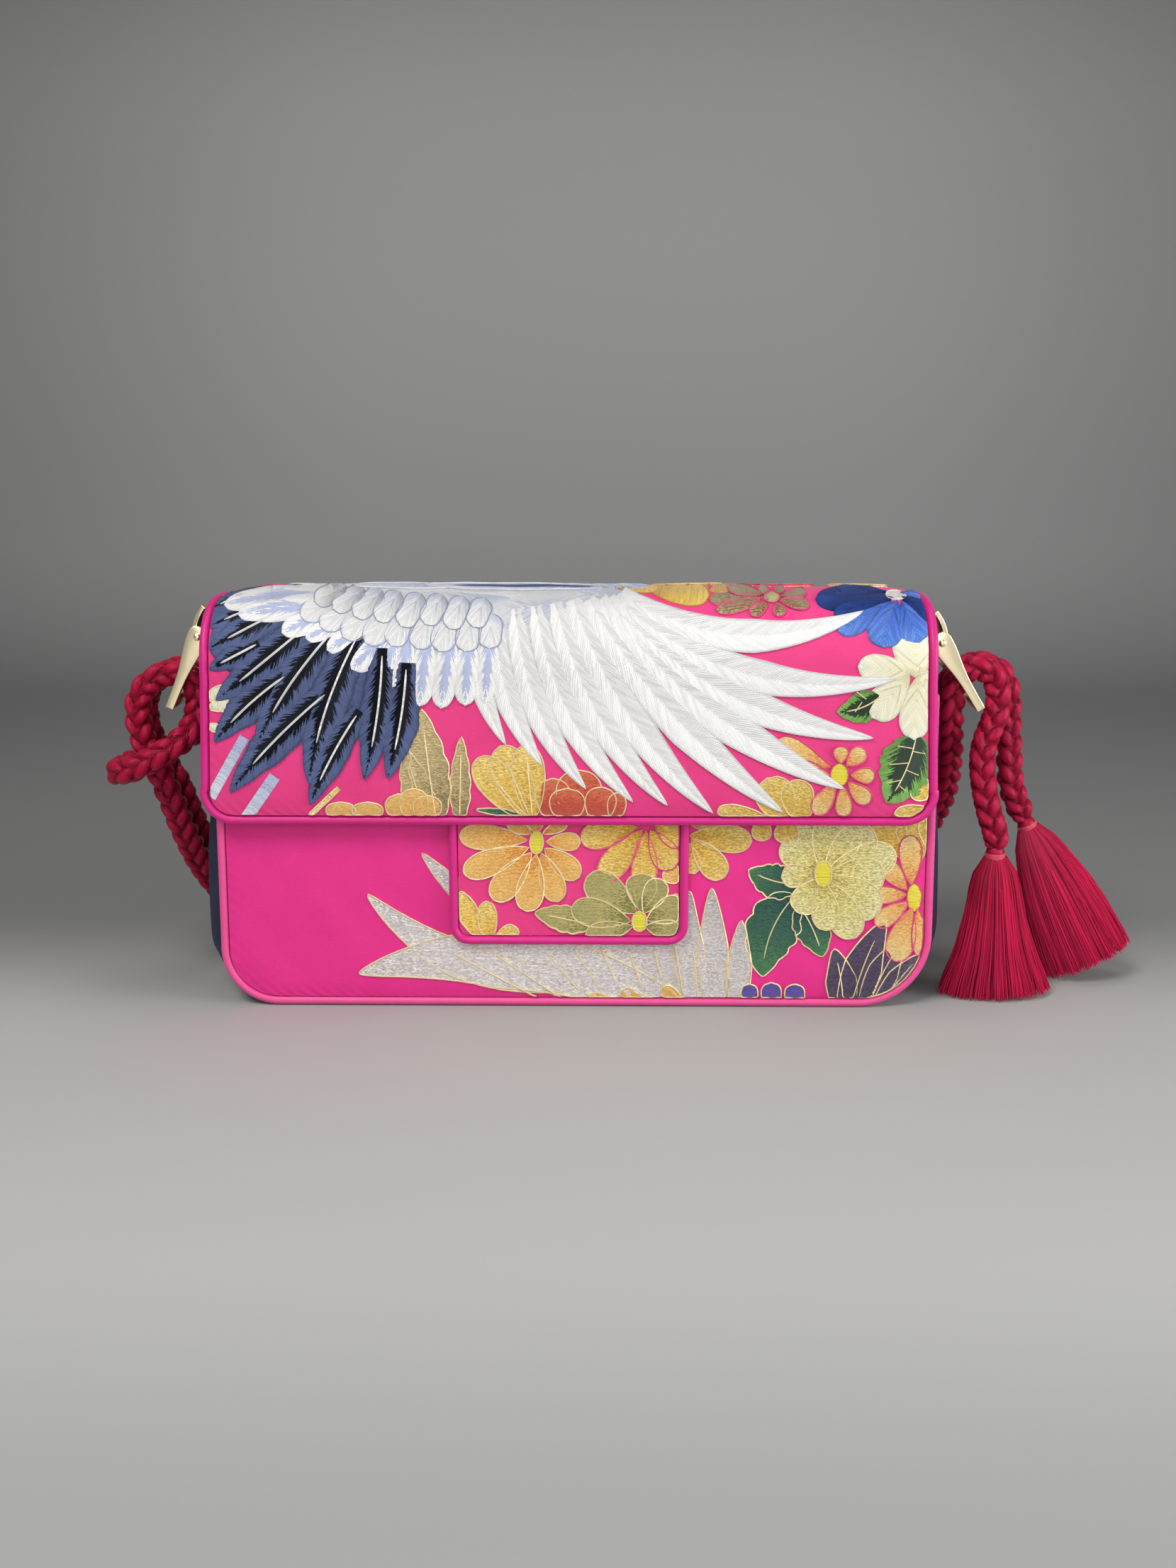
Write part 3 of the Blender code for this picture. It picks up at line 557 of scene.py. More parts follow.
@dataclass(frozen=True)
class ThreadFinish:
    """Silk thread laid in rows, coloured from its root to its tip, with painted shade in the furrows between
    rows and, where set, on one half of each shape and along its rim.
    """

    name: str
    root: Rgb
    middle: Rgb
    tip: Rgb
    width: float = 0.34
    waver: float = 0.5
    depth: float = 0.00016
    roughness: float = 0.42
    metallic: float = 0.0
    sheen: float = 0.25
    sheen_roughness: float = 0.3
    gloss: Rgb = (1.0, 1.0, 1.0)
    unevenness: float = 0.28
    woven: bool = False
    woven_pieces: float = 1.3
    stitched_pieces: float = 0.16
    core: Rgb | None = None
    core_width: float = 0.4
    core_blur: float = 0.07
    blur: float = 0.34
    root_to_middle: tuple[float, float] = (0.12, 0.45)
    middle_to_tip: tuple[float, float] = (0.55, 0.92)
    # The next two fields paint shade on one half of a shape, beside its middle.
    shade: float = 0.0
    painted_half_shade_blur: float = 0.1
    # The next two fields paint shade along a shape's edges, where it lies over its neighbour.
    rim: float = 0.0
    painted_rim_shade_start: float = 0.78
    # The next two fields scale the colour by thread height: painted shade in the furrows between rows.
    furrow_painted_shade: float = 0.62
    ridge_painted_light: float = 0.45

    def build(self) -> Material:
        """Make the material.

        Returns:
            The new material.
        """
        shader, principled, made = new_material(
            self.name, Roughness=self.roughness, Metallic=self.metallic, Sheen_Weight=self.sheen,
            Sheen_Roughness=self.sheen_roughness, Specular_Tint=colour(self.gloss))
        rows = shader.feed(
            shader.add("Group", node_tree=thread_rows()), Width=self.width, Waver=self.waver,
            Thread=self.weave(shader) if self.woven else shader.layer("thread"),
            Pieces=self.woven_pieces if self.woven else self.stitched_pieces)
        height, tone = rows.outputs["Height"], rows.outputs["Tone"]
        share, across, _ = shader.parts(shader.layer("place"))
        shift = shader.times(shader.minus(tone, 0.5), self.blur)
        blurred = shader.plus(share, shift)
        root, middle, tip = colour(self.root), colour(self.middle), colour(self.tip)
        lower = shader.mix(shader.between(blurred, *self.root_to_middle), root, middle)
        whole = shader.mix(shader.between(blurred, *self.middle_to_tip), lower, tip)
        side = shader.math("ABSOLUTE", across)
        if self.core:
            width, core_blur = self.core_width, self.core_blur
            narrowing = shader.times(shader.math("POWER", share, 3.0), width)
            reached = shader.plus(shader.plus(side, shift), narrowing)
            inside = shader.between(reached, width + core_blur, width - core_blur)
            whole = shader.mix(inside, whole, colour(self.core))
        tone_and_painted_shade = shader.plus(shader.times(tone, self.unevenness), 1.0 - self.unevenness / 2)
        # Painted shade on one half of the shape and along its rim.
        painted_half_shade = shader.times(shader.between(across, self.painted_half_shade_blur, -self.painted_half_shade_blur), self.shade)
        painted_rim_shade = shader.times(shader.between(side, self.painted_rim_shade_start, 1.0), self.rim)
        for loss in (painted_half_shade, painted_rim_shade):
            tone_and_painted_shade = shader.times(tone_and_painted_shade, shader.minus(1.0, loss))
        # Painted shade in the furrows between rows, by the threads' height.
        groove_painted_shade = shader.times(tone_and_painted_shade, shader.plus(shader.times(height, self.ridge_painted_light), self.furrow_painted_shade))
        tone_and_painted_shade_grey = shader.vector(groove_painted_shade, groove_painted_shade, groove_painted_shade)
        shader.feed(principled, Base_Color=shader.mix(1.0, whole, tone_and_painted_shade_grey, "MULTIPLY"))
        shader.emboss(principled, height, self.depth)
        return made

    def weave(self, shader: Shader) -> Socket:
        """Rows that run level across the whole cloth, in millimetres.

        Args:
            shader: The material's tree.

        Returns:
            The distances across and along the rows.
        """
        x, y, z = shader.parts(shader.place())
        return shader.vector(shader.math("DIVIDE", shader.minus(z, y), MM), shader.math("DIVIDE", x, MM))


@dataclass(frozen=True)
class GiltFinish:
    """Polished pale gold with faint traces of handling."""

    name: str
    ground: Rgb
    roughness: float = 0.1
    grain: float = 0.0009
    traces: float = 0.03

    def build(self) -> Material:
        """Make the material.

        Returns:
            The new material.
        """
        shader, principled, made = new_material(self.name, Metallic=1.0, Base_Color=colour(self.ground))
        grain = shader.feed(shader.add("Group", node_tree=crepe_grain()), Position=shader.place(),
                            Size=self.grain)
        traces = shader.times(grain.outputs["Height"], self.traces)
        shader.feed(principled, Roughness=shader.plus(traces, self.roughness))
        return made


# Camera and studio


@dataclass(frozen=True)
class PictureCamera:
    """The camera that took the picture, and its lines of sight."""

    width: int = 1659
    height: int = 2212
    place: Place = (0.01521, -0.6168, 0.21084)
    aim: Place = (0.00497, -0.030, 0.08609)
    roll: float = -0.1
    focal: float = 2314.0
    sensor: float = 36.0

    def axes(self) -> tuple[Vector, Vector, Vector]:
        """The camera's own directions.

        Returns:
            Its directions to the right, up and forward.
        """
        forward = (Vector(self.aim) - Vector(self.place)).normalized()
        right = forward.cross(Vector((0, 0, 1))).normalized()
        up = right.cross(forward)
        turn = math.radians(self.roll)
        return (right * math.cos(turn) + up * math.sin(turn),
                up * math.cos(turn) - right * math.sin(turn), forward)

    def rays(self, squares: Array) -> Array:
        """Directions of sight through squares of the picture, as long as one along forward.

        Args:
            squares: Squares across from the left and down from the top, in the last axis.

        Returns:
            The directions.
        """
        right, up, forward = (np.array(axis) for axis in self.axes())
        across = (squares[..., :1] - self.width / 2) / self.focal
        down = (squares[..., 1:] - self.height / 2) / self.focal
        return forward + right * across - up * down

    def build(self) -> Piece:
        """Make the scene's camera.

        Returns:
            The new camera.
        """
        data = bpy.data.cameras.new("camera")
        data.sensor_fit = "VERTICAL"
        data.sensor_height = self.sensor
        data.lens = self.focal / self.height * self.sensor
        data.clip_start = 0.01
        right, up, forward = self.axes()
        camera = add_object("camera", data)
        camera.matrix_world = Matrix.Translation(self.place) @ Matrix(
            (right, up, -forward)).transposed().to_4x4()
        bpy.context.scene.camera = camera
        return camera


@dataclass(frozen=True)
class Lamp:
    """A square soft light that shines at the bag."""

    name: str
    place: Place
    size: float
    power: float
    tint: Rgb = (1.0, 0.99, 0.98)
    aim: Place = (0.0, 0.0, 0.07)

    def build(self) -> None:
        """Make the light."""
        data = bpy.data.lights.new(self.name, "AREA")
        data.size = self.size
        data.energy = self.power
        data.color = self.tint
        lamp = add_object(self.name, data)
        lamp.location = self.place
        lamp.rotation_euler = (Vector(self.place) - Vector(self.aim)).to_track_quat("Z", "Y").to_euler()


@dataclass
class Studio:
    """A pale floor that curves up into a grey backdrop, with painted light falloff and painted shade to the
    sides, and soft lights.
    """

    floor_front: float = -2.2
    floor_back: float = 0.75
    wall_height: float = 2.4
    curve: float = 0.5
    half_width: float = 3.0
    roughness: float = 0.85
    # The next two fields paint shade towards the sides of the floor and backdrop.
    painted_side_shade: Rgb = (0.72, 0.72, 0.72)
    painted_side_shade_span: tuple[float, float] = (0.2, 0.8)
    room: Rgb = (0.62, 0.62, 0.64)
    room_light: float = 0.34
    # The greys by depth plus height paint light falloff: lighter in front, darker behind the bag, lighter up
    # the backdrop and dark at its top.
    painted_falloff_greys: tuple[tuple[float, Rgb], ...] = (
        (-0.34, (0.31, 0.315, 0.312)), (-0.22, (0.40, 0.404, 0.40)), (-0.06, (0.375, 0.368, 0.36)),
        (0.10, (0.165, 0.167, 0.165)), (0.62, (0.162, 0.167, 0.164)), (1.2, (0.30, 0.305, 0.30)),
        (1.75, (0.36, 0.365, 0.358)), (2.2, (0.13, 0.132, 0.128)))
    lamps: tuple[Lamp, ...] = (
        Lamp("key", (-0.5, -0.9, 1.3), 0.6, 17.0, (1.0, 0.98, 0.96)),
        Lamp("front", (0.0, -1.3, 0.36), 0.68, 4.6),
        Lamp("fill", (1.1, -0.9, 0.6), 0.9, 4.6, (0.96, 0.98, 1.0)),
        Lamp("top", (0.05, 0.1, 1.4), 0.6, 3.0, (1.0, 1.0, 1.0)), Lamp("side", (1.0, -0.35, 0.3), 0.5, 6.0))

    def build(self) -> None:
        """Make the floor, the backdrop and the lights."""
        self.floor()
        for lamp in self.lamps:
            lamp.build()
        world = bpy.data.worlds.new("room")
        world.use_nodes = True
        background = world.node_tree.nodes["Background"]
        background.inputs["Color"].default_value = colour(self.room)
        background.inputs["Strength"].default_value = self.room_light
        bpy.context.scene.world = world

    def floor(self) -> None:
        """Make the floor and backdrop as one sheet, its colour painted with light falloff and shade to the
        sides.
        """
        steps = quarter(24)
        wall = self.floor_back + self.curve
        depth = np.array([self.floor_front, *(self.floor_back + self.curve * np.sin(steps)), wall])
        height = np.array([0.0, *(self.curve * (1 - np.cos(steps))), self.wall_height])
        across = np.array([-self.half_width, self.half_width])
        points = together(across[None, :], depth[:, None], height[:, None])
        mesh = bpy.data.meshes.new("studio_floor")
        mesh.from_pydata(points.reshape(-1, 3), [], grid_quads(len(depth), 2))
        mesh.shade_smooth()
        shader, principled, made = new_material("studio_paper_painted_falloff", Roughness=self.roughness)
        x, y, z = shader.parts(shader.place())
        # Painted shade towards the sides, and painted light falloff by depth and height.
        aside = shader.between(shader.math("ABSOLUTE", x), *self.painted_side_shade_span)
        paper = shader.ramp(shader.plus(y, z), self.painted_falloff_greys)
        shader.feed(principled, Base_Color=shader.mix(aside, paper, colour(self.painted_side_shade), "MULTIPLY"))
        mesh.materials.append(made)
        add_object("studio_floor", mesh)


# Cloth


def rounded_edge(straight: Array, half: float, low: float, radius: float, count: int) -> Array:
    """A line down one side, round two lower corners and up the other side.

    Args:
        straight: The points of its right side, from the top down.
        half: Half its width at the bottom.
        low: The bottom's height, or its distance along the cloth.
        radius: The corners' radius.
        count: How many points a corner has.

    Returns:
        The line's points across and up, from the top left.
    """
    turn = quarter(count)
    corner = together(half - radius + radius * np.cos(turn), low + radius * (1 - np.sin(turn)))
    side = np.vstack([straight, corner])
    return np.vstack([side * np.array([-1, 1]), side[::-1]])


@dataclass
class ClothPath:
    """A cloth's middle plane, as the path of its section in depth and height."""

    points: Array
    faces_back: bool = False
    step: float = 0.0015
    samples: int = 400

    def __post_init__(self) -> None:
        """Measure the path."""
        self.reach = distances(self.points)
        self.length = float(self.reach[-1])

    def at(self, along: Array) -> tuple[Array, Array]:
        """The place and the outward direction at distances along the path.

        Args:
            along: The distances.

        Returns:
            Depth and height of the place, and of the direction.
        """
        ahead, behind = (points_at(self.points, self.reach, np.clip(along + step, 0, self.length))
                         for step in (self.step, -self.step))
        slope = unit(ahead - behind) * (-1 if self.faces_back else 1)
        return points_at(self.points, self.reach, along), together(-slope[..., 1], slope[..., 0])

    def raised(self, x: Array, along: Array, out: Array | float) -> Array:
        """Points outside the path.

        Args:
            x: Their X.
            along: Their distances along the path.
            out: Their distances outside it.

        Returns:
            The points.
        """
        place, outward = self.at(along)
        spot = place + outward * np.asarray(out)[..., None]
        return together(x, spot[..., 0], spot[..., 1])

    def seen(self, camera: PictureCamera, squares: Array, out: float) -> tuple[Array, Array]:
        """Where lines of sight meet the cloth.

        Args:
            camera: The camera.
            squares: The picture squares that the lines pass through.
            out: How far the cloth's face lies outside its middle plane.

        Returns:
            The X and the distance along the path of each meeting point.
        """
        samples = np.linspace(0, self.length, self.samples)
        place, outward = self.at(samples)
        face = place + outward * out
        eye = np.array(camera.place)
        rays = camera.rays(squares.reshape(-1, 2))
        slope = rays[:, 2] / rays[:, 1]
        above = (face[None, :, 1] - eye[2]) - slope[:, None] * (face[None, :, 0] - eye[1])
        crossed = np.where((above > 0).any(axis=1), np.argmax(above > 0, axis=1), np.argmax(above, axis=1))
        crossed = np.maximum(crossed, 1)
        rows = np.arange(len(rays))
        low, high = above[rows, crossed - 1], above[rows, crossed]
        share = np.clip(-low / np.where(np.abs(high - low) < 1e-9, 1.0, high - low), 0, 1)
        along = samples[crossed - 1] + share * (samples[1] - samples[0])
        hit, normal = self.at(along)
        depth = (hit + normal * out)[:, 0]
        x = eye[0] + rays[:, 0] / rays[:, 1] * (depth - eye[1])
        shape = squares.shape[:-1]
        return x.reshape(shape), along.reshape(shape)


def corner_inset(radius: float, distance: Array) -> Array:
    """How far a rounded corner draws the side in at a distance from the lower edge."""
    short = np.clip(radius - distance, 0.0, radius)
    return radius - np.sqrt(np.maximum(radius ** 2 - short ** 2, 0.0))


def ripple(first: Array, second: Array, seed: float) -> Array:
    """A slow uneven wave over two coordinates in millimetres.

    Args:
        first: The first coordinate.
        second: The second coordinate.
        seed: The wave's own shift.

    Returns:
        Values between -1 and 1.
    """
    return (np.sin(first * 0.11 + seed + 1.3 * np.sin(second * 0.07 + seed))
            + np.sin(second * 0.13 - seed + 1.1 * np.sin(first * 0.05 - seed))
            + 0.5 * np.sin(first * 0.31 + second * 0.23 + 2 * seed)) / 2.5


@dataclass
class ClothSheet:
    """A padded cloth that hangs along a path inside its piping."""

    name: str
    path: ClothPath
    half_width: float
    taper: float
    taper_end: float
    shift: float
    inset: float
    radius_left: float
    radius_right: float
    thickness: float
    crown: float
    roll: float
    flat_end: bool = False
    columns: int = 128
    rows: int = 104
    pucker: float = 0.00022
    pucker_pitch: float = 4.6
    pucker_wander: float = 2.2
    pucker_reach: float = 0.004
    pucker_start: float = 0.001
    swell: float = 0.00035
    swell_start: float = 0.012
    seed: float = 0.0
    crowding: float = 0.35
    row_growth: float = 1.25
    seen_crown: float = 0.9
    margin: float = 0.0002

    def half(self, along: Array) -> Array:
        """Half the width inside the piping at a distance along the path."""
        return self.half_width - self.taper * np.minimum(along / self.taper_end, 1.0) - self.inset

    def reach(self, sign: Array, along: Array) -> Array:
        """How far the cloth reaches to one side, inside its rounded corner.

        Args:
            sign: The side, below 0 for the left.
            along: Distances along the path.

        Returns:
            The distances from the middle line.
        """
        lower = along - self.inset
        left = corner_inset(self.radius_left - self.inset, lower)
        right = corner_inset(self.radius_right - self.inset, lower)
        return self.half(along) - np.where(sign < 0, left, right)

    def relief(self, across: Array, along: Array) -> Array:
        """How far the padding lifts the cloth's face.

        Args:
            across: Distances from the cloth's middle line.
            along: Distances along its path.

        Returns:
            The lifts above the flat face.
        """
        side = self.half(along) - np.abs(across)
        lower = along - self.inset
        radius = np.where(across < 0, self.radius_left, self.radius_right) - self.inset
        corner = radius - np.hypot(np.maximum(radius - side, 0), np.maximum(radius - lower, 0))
        in_corner = (side < radius) & (lower < radius)
        distance = np.maximum(np.where(in_corner, corner, np.minimum(side, lower)), 0.0)
        lift = self.crown * (1 - np.exp(-distance / self.roll))
        wide, long = across / MM, along / MM
        gathers = np.sin((wide + long) * 2 * math.pi / self.pucker_pitch
                         + self.pucker_wander * ripple(wide, long, self.seed + 2))
        fading = np.exp(-distance / self.pucker_reach) * np.minimum(distance / self.pucker_start, 1.0)
        growing = np.minimum(distance / self.swell_start, 1.0)
        lift = lift + self.pucker * gathers * fading + self.swell * ripple(wide, long, self.seed) * growing
        return lift * (np.clip((self.path.length - along) / self.roll, 0, 1) if self.flat_end else 1.0)

    def point(self, x: Array, along: Array, lift: Array | float = 0.0) -> Array:
        """Points above the cloth's face.

        Args:
            x: Their X.
            along: Their distances along the path.
            lift: Their heights above the face.

        Returns:
            The points.
        """
        return self.path.raised(x, along, self.thickness / 2 + self.relief(x - self.shift, along) + lift)

    def lay(self, camera: PictureCamera, squares: Array, lift: Array | float) -> Array:
        """Points above the cloth's face, where the picture shows them.

        Args:
            camera: The camera.
            squares: The squares of the picture.
            lift: The points' heights above the face.

        Returns:
            The points.
        """
        x, along = self.path.seen(camera, squares, self.thickness / 2 + self.crown * self.seen_crown)
        along = np.clip(along, self.inset + GAP, self.path.length)
        limit = self.reach(x - self.shift, along) - self.margin
        across = np.clip(x - self.shift, -limit, limit)
        return self.point(across + self.shift, along, lift)

    def build(self, finish: Material, node: str, fill: float) -> Piece:
        """Make the cloth as a closed padded shell.

        Args:
            finish: Its material.
            node: The frame's node that it stands for.
            fill: How full its padding is; not used.

        Returns:
            The new piece.
        """
        bend = np.linspace(-1, 1, self.columns)
        shares = np.sin(bend * math.pi / 2) * self.crowding + bend * (1 - self.crowding)
        steps = np.linspace(0, 1, self.rows) ** self.row_growth
        along = (self.inset + steps * (self.path.length - self.inset))[:, None] * np.ones(self.columns)
        across = shares[None, :] * self.reach(shares[None, :], along)
        out = self.thickness / 2 + self.relief(across, along)
        x = across + self.shift
        shells = [self.path.raised(x, along, depth) for depth in (out, out - self.thickness)]
        face = grid_quads(self.rows, self.columns)
        quads = np.concatenate([face, face[:, ::-1] + along.size, rim_quads(self.rows, self.columns)])
        gathering = Gathering()
        gathering.add(np.stack(shells), quads[:, ::-1] if self.path.faces_back else quads,
                      np.stack([together(across / MM, along / MM)] * 2))
        piece = gathering.build(self.name, finish, Slot.SILK)
        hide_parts(node)
        return piece


@dataclass
class BodyForm:
    """The body's sizes, which its panels, gusset and piping share."""

    width: float = 0.2675
    taper: float = 0.0012
    depth: float = 0.052
    radius_left: float = 0.022
    radius_right: float = 0.028
    top: float = 0.118
    piping: float = 0.0032
    panel_thickness: float = 0.002
    panel_crown: float = 0.0014
    panel_roll: float = 0.006

    @property
    def seam_depth(self) -> float:
        """Distance from the middle to each seam's piping."""
        return self.depth / 2 + GAP + self.piping / 2

    def half(self, height: float) -> float:
        """Half the body's width at a height."""
        return self.width / 2 - self.taper * height / self.top

    def panel(self, facing: int) -> ClothSheet:
        """The front panel, or the back one.

        Args:
            facing: -1 for the front and 1 for the back.

        Returns:
            The panel's sheet.
        """
        heights = np.linspace(0, self.top, 60)
        path = ClothPath(together(facing * self.seam_depth, heights), facing > 0)
        return ClothSheet(
            "front_cloth" if facing < 0 else "back_cloth", path, self.width / 2, self.taper, self.top, 0.0,
            self.piping + 2 * GAP, self.radius_left, self.radius_right, self.panel_thickness,
            self.panel_crown, self.panel_roll, seed=facing * 1.7)

    def outline(self, inset: float) -> Array:
        """The body's outline from its left top round the bottom to its right top.

        Args:
            inset: How far inside the body's own outline it runs.

        Returns:
            Points across and up.
        """
        halves = {}
        for side in Side:
            radius = self.radius_left if side is Side.LEFT else self.radius_right
            turn = quarter(25)
            heights = np.linspace(self.top, radius * 1.1, 20)
            straight = [(self.half(height) - inset, height) for height in heights]
            narrowing = self.taper * radius / self.top * np.cos(turn)
            centre = self.half(0.0) - radius
            bend = zip(centre + (radius - inset) * np.cos(turn) - narrowing,
                       inset + (radius - inset) * (1 - np.sin(turn)))
            halves[side] = np.array([*straight, *bend]) * np.array([side.value, 1])
        return np.vstack([halves[Side.LEFT], halves[Side.RIGHT][::-1]])


@dataclass
class Piping:
    """Silk over a round cord, sewn into a seam."""

    name: str
    line: Array
    diameter: float
    sides: int = 16
    spacing: float = 0.0009
    dimple: float = 0.025
    pitch: float = 0.0031
    wander: float = 0.017

    def build(self, finish: Material, node: str) -> Piece:
        """Make the piping, with the slight dimples of its seam.

        Args:
            finish: Its material.
            node: The frame's node that it stands for.

        Returns:
            The new piece.
        """
        line = spaced(self.line, self.spacing)
        reach = np.arange(len(line)) * self.spacing
        wave = np.sin(reach / self.pitch * 2 * math.pi + 1.9 * np.sin(reach / self.wander))
        radius = self.diameter / 2 * (1 - self.dimple * (0.5 + 0.5 * wave))
        gathering = Gathering()
        gathering.add(*tube(line, radius, self.sides))
        piece = gathering.build(self.name, finish, Slot.PIPING)
        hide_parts(node)
        return piece


@dataclass
class FlapForm:
    """The padded flap's sizes and its fold over the top."""

    body: BodyForm
    width: float = 0.2685
    taper: float = 0.0022
    shift: float = -0.0022
    bottom: float = 0.072
    top: float = 0.1518
    fold_start: float = 0.124
    squareness: float = 2.6
    corner: float = 0.0125
    thickness: float = 0.0032
    crown: float = 0.0020
    roll: float = 0.007
    piping: float = 0.0035
    tab_piping: float = 0.0033

    def __post_init__(self) -> None:
        """Work out the planes of the flap and the tab, and the fold's path."""
        body = self.body
        face = body.seam_depth + body.panel_thickness / 2 + body.panel_crown
        self.tab_plane = -(face + GAP + self.tab_piping / 2)
        front = self.tab_plane - self.tab_piping / 2 - GAP - self.thickness / 2
        back = body.seam_depth
        angle = np.linspace(math.pi, 0, 181)
        power = 2 / self.squareness
        depth = np.sign(np.cos(angle)) * np.abs(np.cos(angle)) ** power
        height = np.maximum(np.sin(angle), 0.0) ** power
        fold = together((front + back) / 2 + (back - front) / 2 * depth,
                        self.fold_start + (self.top - self.fold_start) * height)
        self.path = ClothPath(np.vstack([[front, self.bottom], fold, [back, body.top + GAP]]))
        self.fold = self.fold_start - self.bottom

    def sheet(self) -> ClothSheet:
        """The flap's cloth.

        Returns:
            Its sheet.
        """
        return ClothSheet(
            "flap_cloth", self.path, self.width / 2, self.taper, self.fold, self.shift,
            self.piping + GAP, self.corner, self.corner, self.thickness, self.crown, self.roll, True,
            columns=158, rows=144, seed=0.6)

    def edge(self) -> Array:
        """The line of the flap's piping.

        Returns:
            Its points, from the back seam round the front and back again.
        """
        inset = self.piping / 2
        along = np.linspace(self.path.length, self.corner, 90)
        half = self.width / 2 - inset
        straight = together(half - self.taper * np.minimum(along / self.fold, 1.0), along)
        outline = rounded_edge(straight, half, inset, self.corner - inset, 14)
        place, _ = self.path.at(outline[:, 1])
        return np.column_stack([outline[:, 0] + self.shift, place])


@dataclass
class TabForm:
    """The closing tab's sizes."""

    flap: FlapForm
    width: float = 0.0885
    drop: float = 0.0465
    hidden: float = 0.016
    corner: float = 0.0072
    thickness: float = 0.0024
    crown: float = 0.0003
    roll: float = 0.003
    sunk: float = 0.0001
    piping: float = 0.0033

    @property
    def bottom(self) -> float:
        """Height of the tab's lower edge."""
        return self.flap.bottom - self.drop

    def sheet(self) -> ClothSheet:
        """The tab's cloth.

        Returns:
            Its sheet.
        """
        heights = np.linspace(self.bottom, self.flap.bottom + self.hidden, 40)
        path = ClothPath(together(self.flap.tab_plane + self.thickness / 2 - self.sunk, heights))
        return ClothSheet(
            "tab_cloth", path, self.width / 2, 0.0, 1.0, self.flap.shift, self.piping + GAP,
            self.corner, self.corner, self.thickness, self.crown, self.roll, columns=76, rows=52,
            pucker=0.0001, swell=0.0001, seed=3.1)

    def edge(self) -> Array:
        """The line of the tab's piping.

        Returns:
            Its points, down one side, along the bottom and up the other.
        """
        inset = self.piping / 2
        half = self.width / 2 - inset
        outline = rounded_edge(np.array([[half, self.flap.bottom + self.hidden]]), half, self.bottom + inset,
                               self.corner - inset, 10)
        return together(outline[:, 0] + self.flap.shift, self.flap.tab_plane, outline[:, 1])


@dataclass
class GussetStrip:
    """The soft strip between the panels, narrowing to a tongue at each end."""

    body: BodyForm
    thickness: float = 0.002
    bulges: dict[Side, float] = field(default_factory=lambda: {Side.LEFT: 0.0092, Side.RIGHT: 0.0055})
    leans: dict[Side, float] = field(default_factory=lambda: {Side.LEFT: 0.0037, Side.RIGHT: -0.0012})
    tops: dict[Side, float] = field(default_factory=lambda: {Side.LEFT: 0.1428, Side.RIGHT: 0.1406})
    heights: tuple[float, ...] = (1.00, 0.94, 0.88, 0.82, 0.75, 0.66, 0.55, 0.44, 0.32)
    bulging: tuple[float, ...] = (0.00, 0.00, 0.02, 0.06, 0.13, 0.30, 0.62, 0.90, 1.00)
    leaning: tuple[float, ...] = (1.00, 1.00, 0.80, 0.55, 0.30, 0.10, 0.00, 0.00, 0.00)
    widths: tuple[float, ...] = (0.42, 0.47, 0.62, 0.82, 0.95, 1.00, 1.00, 1.00, 1.00)
    columns: int = 37
    spacing: float = 0.0019
    corner_bulge: float = 0.94
    middle: Place = (0.0, 0.0, 0.07)
    fill: float = 0.2

    def side_rows(self, side: Side) -> list[tuple[float, ...]]:
        """Rows down one end and round its corner.

        Args:
            side: The end.

        Returns:
            For each row its X, height, outward direction, bulge, lean and width.
        """
        sign = side.value
        body = self.body
        rows = []
        for share, bulge, lean, width in zip(self.heights, self.bulging, self.leaning, self.widths):
            height = self.tops[side] * share
            rows.append((sign * body.half(height), height, sign, 0.0, self.bulges[side] * bulge,
                         self.leans[side] * lean, width))
        radius = body.radius_left if side is Side.LEFT else body.radius_right
        for turn in quarter(9):
            fade = (1 - turn / (math.pi / 2)) ** 2
            rows.append((sign * (body.half(0) - radius + radius * math.cos(turn)),
                         radius * (1 - math.sin(turn)), sign * math.cos(turn), -math.sin(turn),
                         self.bulges[side] * self.corner_bulge * fade, 0.0, 1.0))
        return rows

    def build(self, finish: Material) -> Piece:
        """Make the strip as a closed shell.

        Args:
            finish: Its material.

        Returns:
            The new piece.
        """
        left, right = self.side_rows(Side.LEFT), self.side_rows(Side.RIGHT)[::-1]
        flat = [(x, 0.0, 0.0, -1.0, 0.0, 0.0, 1.0) for x in np.linspace(left[-1][0], right[0][0], 40)[1:-1]]
        x, height, aside, up, bulge, lean, width = np.array(left + flat + right).T
        lines = []
        for share in np.linspace(-1, 1, self.columns):
            out = bulge * (1 - share ** 2) + lean
            depth = share * width * self.body.depth / 2
            line = together(x + aside * out, depth, np.maximum(height + up * out, 0.0))
            lines.append(smooth_line(line, self.spacing))
        count = max(len(line) for line in lines)
        wanted = np.linspace(0, 1, count)
        face = np.stack([points_at(line, np.linspace(0, 1, len(line)), wanted) for line in lines], axis=1)
        face[..., 2] = np.maximum(face[..., 2], 0.0)
        normals = unit(np.cross(np.gradient(face, axis=0), np.gradient(face, axis=1)))
        inward = ((face - np.array(self.middle)) * normals).sum(-1, keepdims=True) < 0
        inner = face - np.where(inward, -normals, normals) * self.thickness
        quads = grid_quads(count, self.columns)
        shell = [quads, quads[:, ::-1] + count * self.columns, rim_quads(count, self.columns)]
        thread = together(face[..., 1] / MM, (np.arange(count) * self.spacing / MM)[:, None])
        gathering = Gathering()
        gathering.add(np.stack([face, inner]), np.concatenate(shell), np.stack([thread, thread]))
        piece = gathering.build("gusset_cloth_strip", finish, Slot.GUSSET)
        bm = bmesh.new()
        bm.from_mesh(piece.data)
        bmesh.ops.recalc_face_normals(bm, faces=bm.faces)
        bm.to_mesh(piece.data)
        bm.free()
        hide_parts("gusset")
        return piece


# Cord and tassels


